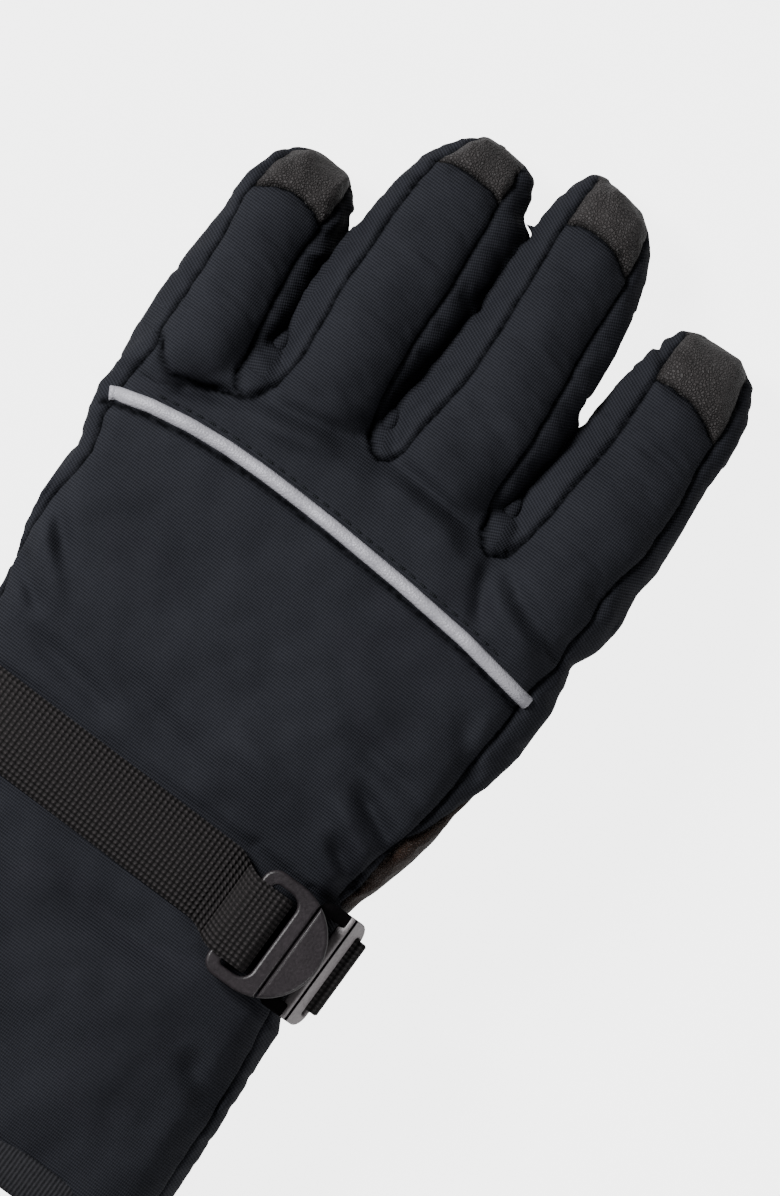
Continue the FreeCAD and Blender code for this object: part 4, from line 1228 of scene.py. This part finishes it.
def build_thumb():
    """A padded thumb lying flat under the palm, its round base opening up into the hand."""
    thumb = thumb_shell()
    points, normals = points_of(thumb), normals_of(thumb)
    side = np.abs(points[:, 2] - THUMB_LEVEL) + 50 * (np.abs(normals[:, 2]) > 0.8)
    distance = np.minimum(side, np.abs(points[:, 1] - THUMB_CAP_Y))
    height = -0.9 * fade(distance, 0.9) + 0.8 * noise_at(points, 12.0, 6)
    height += 0.3 * noise_at(points, 4.0, 7)
    off_floor = smoothstep(0.0, 2.0, points[:, 2])
    points = points + normals * (height * off_floor)[:, None]
    x, y, z = points[:, 0], points[:, 1], np.maximum(points[:, 2], 0.0)
    across = THUMB_ROOT[0] + x * math.cos(THUMB_TURN) - y * math.sin(THUMB_TURN)
    along = THUMB_ROOT[1] + x * math.sin(THUMB_TURN) + y * math.cos(THUMB_TURN)
    set_points(thumb, np.stack([across, along, z], 1))
    normals = normals_of(thumb)
    faces = [tuple(p.vertices) for p in thumb.data.polygons]
    middle = np.array([y[list(f)].mean() for f in faces])
    level = np.array([z[list(f)].mean() for f in faces])
    names = np.where(middle > THUMB_CAP_Y, "thumb_tip_cap",
                     np.where(level > THUMB_LEVEL, "thumb_palm_panel", "thumb_back_panel"))
    whole = points_of(thumb)
    for name in ("thumb_tip_cap", "thumb_palm_panel", "thumb_back_panel"):
        chosen = [faces[i] for i in np.flatnonzero(names == name)]
        # distance also sets the painted shade in the thumb's seams and round its cap edge.
        panel = cut_panel(name, whole, chosen, normals, distance)
        finish(panel, "cloth_back" if name == "thumb_back_panel" else "leather")
        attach(panel, "thumb")
        hidden = [name] + (["thumb_insulation", "thumb_lining"] if "back" in name else [])
        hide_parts(*hidden)
    bpy.data.objects.remove(thumb)


# --- wrist strap and buckle ----------------------------------------------------------------------

STRAP_WIDE = 20.0
STRAP_THICK = 1.6
# How far the webbing lies off the shell.
STRAP_GAP = 0.3
# The hook's bar, which the wrist strap is looped round, and the middle of the hook along Y.
BAR_X, BAR_Z = 36.35, 53.6
HOOK_Y = -5.3
# The loop's radius, and how far its bend is past the bar, so that the hook can tilt in it.
LOOP_RADIUS = 2.95
LOOP_SLACK = 4.0
# The frame's lowest bar, which the side strap is looped round, and that loop's radius.
SIDE_BAR_X, SIDE_BAR_Z = 60.4, 38.4
SIDE_LOOP_RADIUS = 2.3
SIDE_STRAP_Y = -3.7


def round_wrist():
    """The path of webbing lying on the wrist, in the XZ plane."""
    x, _, z = hand_ring(WRIST_Y, -(STRAP_GAP + STRAP_THICK / 2))
    return np.stack([x, z], 1)


def strap_middle(x, z):
    """The wrist strap lies a little askew, and more so where it nears the hook."""
    near_hook = smoothstep(26, 35, x) * (z > 40)
    return -1.76 - 0.0155 * x - 2.95 * near_hook


def ribbon(name, path, middle=None):
    """Webbing along a path in the XZ plane, with softly rounded edges. Rides the hand."""
    path = dense(path, 0.8)
    lengths = np.concatenate([[0], np.cumsum(np.linalg.norm(np.diff(path, axis=0), axis=1))])
    half, thick, soft = STRAP_WIDE / 2, STRAP_THICK / 2, 0.45
    profile = [(-half, -thick + soft), (-half + soft, -thick), (half - soft, -thick),
               (half, -thick + soft), (half, thick - soft), (half - soft, thick),
               (-half + soft, thick), (-half, thick - soft)]
    rings = []
    for i, (x, z) in enumerate(path):
        step = path[min(i + 1, len(path) - 1)] - path[max(i - 1, 0)]
        step = step / max(np.linalg.norm(step), 1e-9)
        out = np.array([-step[1], step[0]])
        y = strap_middle(x, z) if middle is None else middle
        ring = [(x + out[0] * b, y + a, z + out[1] * b) for a, b in profile]
        rings.append(tuple(np.array(ring).T))
    strap = make_mesh(name, *tube(rings))
    layer = strap.data.uv_layers.new(name="UVMap")
    for polygon in strap.data.polygons:
        for corner in polygon.loop_indices:
            vertex = strap.data.loops[corner].vertex_index
            ring, spot = divmod(vertex, len(profile))
            layer.data[corner].uv = (lengths[ring] / 1000.0, profile[spot][0] / 1000.0)
    shade_smooth(strap)
    strap.data.set_sharp_from_angle(angle=math.radians(50))
    finish(strap, "webbing")
    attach(strap, "hand")
    return strap


def arc(x, z, radius, start, end, count=16):
    turn = np.radians(np.linspace(start, end, count))
    return [(x + radius * math.cos(t), z + radius * math.sin(t)) for t in turn]


def build_wrist_strap():
    """From the palm side round the little-finger edge and over the back, then back on itself."""
    outline = round_wrist()
    middle = outline.mean(0)
    turns = np.unwrap(np.arctan2(outline[:, 1] - middle[1], outline[:, 0] - middle[0]))
    path = [tuple(p) for p in outline[np.argsort(-turns)]]
    # The strap starts under the palm's middle and leaves the wrist's outline near the hook.
    start = min(range(len(path)), key=lambda i: abs(path[i][0] + 3) + 100 * (path[i][1] > 30))
    path = path[start:] + path[:start]
    end = next(i for i, p in enumerate(path) if p[1] > 35 and p[0] > 28)
    under, over = BAR_Z - LOOP_RADIUS, BAR_Z + LOOP_RADIUS
    path = path[:end] + [(31.5, under - 1.0), (34.0, under)]
    path += arc(BAR_X + LOOP_SLACK, BAR_Z, LOOP_RADIUS, -90, 90)
    path += [(34.3, over - 0.05), (32.6, over - 1.3), (31.2, over - 3.0)]
    strap = ribbon("wrist_strap_webbing", path)
    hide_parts("wrist_strap")


def build_side_strap():
    """From the palm side up the index edge and round the frame's lowest bar."""
    lower = [tuple(p) for p in round_wrist() if p[0] > 3 and p[1] < 25]
    lower.sort(key=lambda p: math.atan2(p[1] - 30, p[0]))
    bend = arc(SIDE_BAR_X, SIDE_BAR_Z, SIDE_LOOP_RADIUS, -12, 175)
    path = lower + [(59.8, 32.0)] + bend + [(57.9, 36.0)]
    strap = ribbon("side_strap_webbing", path, SIDE_STRAP_Y)
    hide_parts("side_strap")


def plate(name, outlines, thick, bevel):
    """A flat moulded plate with rounded edges; the first outline is its edge, others are holes."""
    curve = bpy.data.curves.new(name, "CURVE")
    curve.dimensions = "2D"
    curve.fill_mode = "BOTH"
    curve.extrude = (thick / 2 - bevel) / 1000.0
    curve.bevel_depth = bevel / 1000.0
    curve.bevel_resolution = 3
    curve.offset = -bevel / 1000.0
    for outline in outlines:
        spline = curve.splines.new("POLY")
        spline.points.add(len(outline) - 1)
        for point, (x, y) in zip(spline.points, outline):
            point.co = (x / 1000.0, y / 1000.0, 0.0, 1.0)
        spline.use_cyclic_u = True
    drawn = add_object(name, curve)
    bpy.context.view_layer.update()
    mesh = bpy.data.meshes.new_from_object(drawn.evaluated_get(bpy.context.evaluated_depsgraph_get()))
    bpy.data.objects.remove(drawn)
    made = add_object(name, mesh)
    shade_smooth(made)
    mesh.set_sharp_from_angle(angle=math.radians(32))
    return made


def rounded(x0, y0, x1, y1, radius, far=None, count=7):
    """A rectangle with rounded corners; far is the corner radius at the x1 end if it differs."""
    far = radius if far is None else far
    corners = ((x1 - far, y0 + far, far, -90), (x1 - far, y1 - far, far, 0),
               (x0 + radius, y1 - radius, radius, 90), (x0 + radius, y0 + radius, radius, 180))
    outline = []
    for x, y, bend, start in corners:
        outline += arc(x, y, bend, start, start + 90, count)
    return outline


def place_piece(thing, x, y, z, lean=0.0):
    """Puts a piece drawn about its own origin at a point of the glove, leaning about Y."""
    spot = to_row([(x, y, z)])[0]
    thing.rotation_euler = (0, lean, 0)
    thing.location = tuple(spot)
    bpy.context.view_layer.update()
    thing.data.transform(thing.matrix_world)
    thing.location = (0, 0, 0)
    thing.rotation_euler = (0, 0, 0)
    bpy.context.view_layer.update()


def build_hook():
    """The loop plate with its slot, the half-round thumb end beyond a groove, and the lip."""
    radius, far_x, corner, edge_x, body_end, groove = 14.4, 57.5, 3.6, 1.95, 12.9, 0.4
    round_middle = far_x - BAR_X - radius

    def turn_at(x):
        return math.acos((x - round_middle) / radius)

    body_turn = math.degrees(turn_at(body_end))
    edge = arc(round_middle, 0, radius, -body_turn, -90, 10) + [(2.0, -radius)]
    edge += arc(edge_x, -radius + corner, corner, -90, -180, 7)
    edge += arc(edge_x, radius - corner, corner, 180, 90, 7)
    edge += arc(round_middle, 0, radius, 90, body_turn, 10)
    slot = rounded(1.65, -11.35, 9.15, 11.35, 1.2, 3.2)
    loop = plate("buckle_hook_loop", [edge[::-1], slot], 3.0, 0.7)
    lobe_turn = math.degrees(turn_at(body_end + groove))
    lobe_edge = arc(round_middle, 0, radius, -lobe_turn, lobe_turn, 28)
    lobe = plate("buckle_hook_lobe", [lobe_edge], 3.2, 0.8)
    bridge = plate("buckle_hook_bridge", [rounded(11.6, -8.6, 15.4, 8.6, 0.8)], 1.7, 0.3)
    lip = plate("buckle_hook_lip", [rounded(16.4, -7, 18.4, 7, 0.6)], 4.0, 0.4)
    for piece, lift in ((loop, 0.0), (lobe, 0.25), (bridge, -0.3), (lip, -3.3)):
        place_piece(piece, BAR_X, HOOK_Y, BAR_Z + lift)
        finish(piece, "plastic")
        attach(piece, "hook")
    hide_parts("buckle_hook")


def build_frame():
    """A frame bent over the wrist's edge: the hook catches in its flat leaf, and the side
    webbing goes through the slot low in its steep wall."""
    edge_x, edge_z = 49.7, 51.0
    flat_long, flat_lean = 9.0, math.radians(25.0)
    wall_long, wall_lean = 9.8, math.radians(66.0)
    thick, bevel, half_long, corner, inner = 2.6, 0.6, 14.2, 4.0, 0.5
    overlap = 0.9
    bend_x = edge_x + flat_long * math.cos(flat_lean)
    bend_z = edge_z - flat_long * math.sin(flat_lean)
    flat_edge = rounded(0, -half_long, flat_long + overlap, half_long, corner, inner)
    catch = rounded(3.4, -10.8, 8.2, 10.8, 0.8)
    flat = plate("buckle_frame_flat", [flat_edge, catch], thick, bevel)
    wall_edge = rounded(-overlap, -half_long, wall_long, half_long, inner, corner)
    slot = rounded(6.5, -10.9, 8.4, 10.9, 0.8)
    wall = plate("buckle_frame_wall", [wall_edge, slot], thick, bevel)
    for piece, x, z, lean in ((flat, edge_x, edge_z, flat_lean), (wall, bend_x, bend_z, wall_lean)):
        middle_x = x - thick / 2 * math.sin(lean)
        middle_z = z - thick / 2 * math.cos(lean)
        place_piece(piece, middle_x, HOOK_Y + 1.0, middle_z, lean)
        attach(piece, "hand")
    # Painted shade: the flat leaf, under the hook, is the frame's black plastic painted near-black.
    finish(flat, "plastic_painted_shade")
    # Painted highlight: the steep wall is the same black plastic painted light grey.
    finish(wall, "plastic_painted_highlight")
    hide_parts("buckle_frame")


# --- stage ---------------------------------------------------------------------------------------

# Brightness of the floor and the world: what the camera sees adds the first to the second, and
# only the second lights the glove. Positions and sizes here are in metres, lamps in watts.
FLOOR_GLOW = (3.7, 0.6)
WORLD_GLOW = (4.2, 0.06)
FLOOR_GREY = 0.34
FLOOR_HALF = 20.0
FLOOR_DROP = 0.0004
LAMPS = (("main_light", (-1.1, 0.15, 1.15), 44.0, 0.5), ("side_light", (1.3, -0.5, 0.9), 10.0, 0.6))
# The camera looks straight down at this point of the glove, turned by this angle.
LOOKS_AT = (20.5, 74.2, 40.0)
CAMERA_TURN = math.radians(36.1)
LENS = 1000.0
SENSOR = 36.0
VIEW_TALL = 0.2751


def seen_only(tree, extra, always):
    """A strength that is higher for what the camera sees directly than for the light it sheds."""
    glow = tree.nodes.new("ShaderNodeMath")
    glow.operation = "MULTIPLY_ADD"
    glow.inputs[1].default_value = extra
    glow.inputs[2].default_value = always
    tree.links.new(tree.nodes.new("ShaderNodeLightPath").outputs["Is Camera Ray"], glow.inputs[0])
    return glow.outputs[0]


def build_floor():
    corners = [(-1, -1, 0), (1, -1, 0), (1, 1, 0), (-1, 1, 0)]
    floor = make_mesh("floor", np.array(corners) * FLOOR_HALF, [(0, 1, 2, 3)], in_mm=False)
    floor.location.z = -FLOOR_DROP
    paint = bpy.data.materials.new("floor_paint")
    paint.use_nodes = True
    white = paint.node_tree.nodes["Principled BSDF"].inputs
    white["Base Color"].default_value = (FLOOR_GREY, FLOOR_GREY, FLOOR_GREY, 1)
    white["Roughness"].default_value = 0.95
    white["Specular IOR Level"].default_value = 0.0
    white["Emission Color"].default_value = (1, 1, 1, 1)
    glow = seen_only(paint.node_tree, *FLOOR_GLOW)
    paint.node_tree.links.new(glow, white["Emission Strength"])
    floor.data.materials.append(paint)


def build_lights():
    world = bpy.data.worlds.new("studio")
    bpy.context.scene.world = world
    world.use_nodes = True
    sky = world.node_tree.nodes["Background"].inputs
    sky["Color"].default_value = (1, 1, 1, 1)
    world.node_tree.links.new(seen_only(world.node_tree, *WORLD_GLOW), sky["Strength"])
    for name, spot, power, wide in LAMPS:
        light = bpy.data.lights.new(name, "AREA")
        light.energy = power
        light.size = wide
        lamp = add_object(name, light)
        lamp.location = spot
        lamp.rotation_euler = (-Vector(spot)).to_track_quat("-Z", "Y").to_euler()


def build_camera():
    """Straight above the glove, which lies turned 36 degrees on the table."""
    camera = bpy.data.cameras.new("camera")
    camera.lens = LENS
    camera.sensor_width = SENSOR
    camera.clip_end = 100.0
    viewer = add_object("camera", camera)
    centre = to_row([LOOKS_AT])[0]
    viewer.location = (centre[0], centre[1], centre[2] + VIEW_TALL * LENS / SENSOR)
    viewer.rotation_euler = (0, 0, CAMERA_TURN)
    bpy.context.scene.camera = viewer


make_materials()
surface = build_shell()
build_piping(surface)
build_stitches(surface)
build_gussets()
build_lining()
build_hem()
build_thumb()
build_wrist_strap()
build_side_strap()
build_hook()
build_frame()
build_floor()
build_lights()
build_camera()
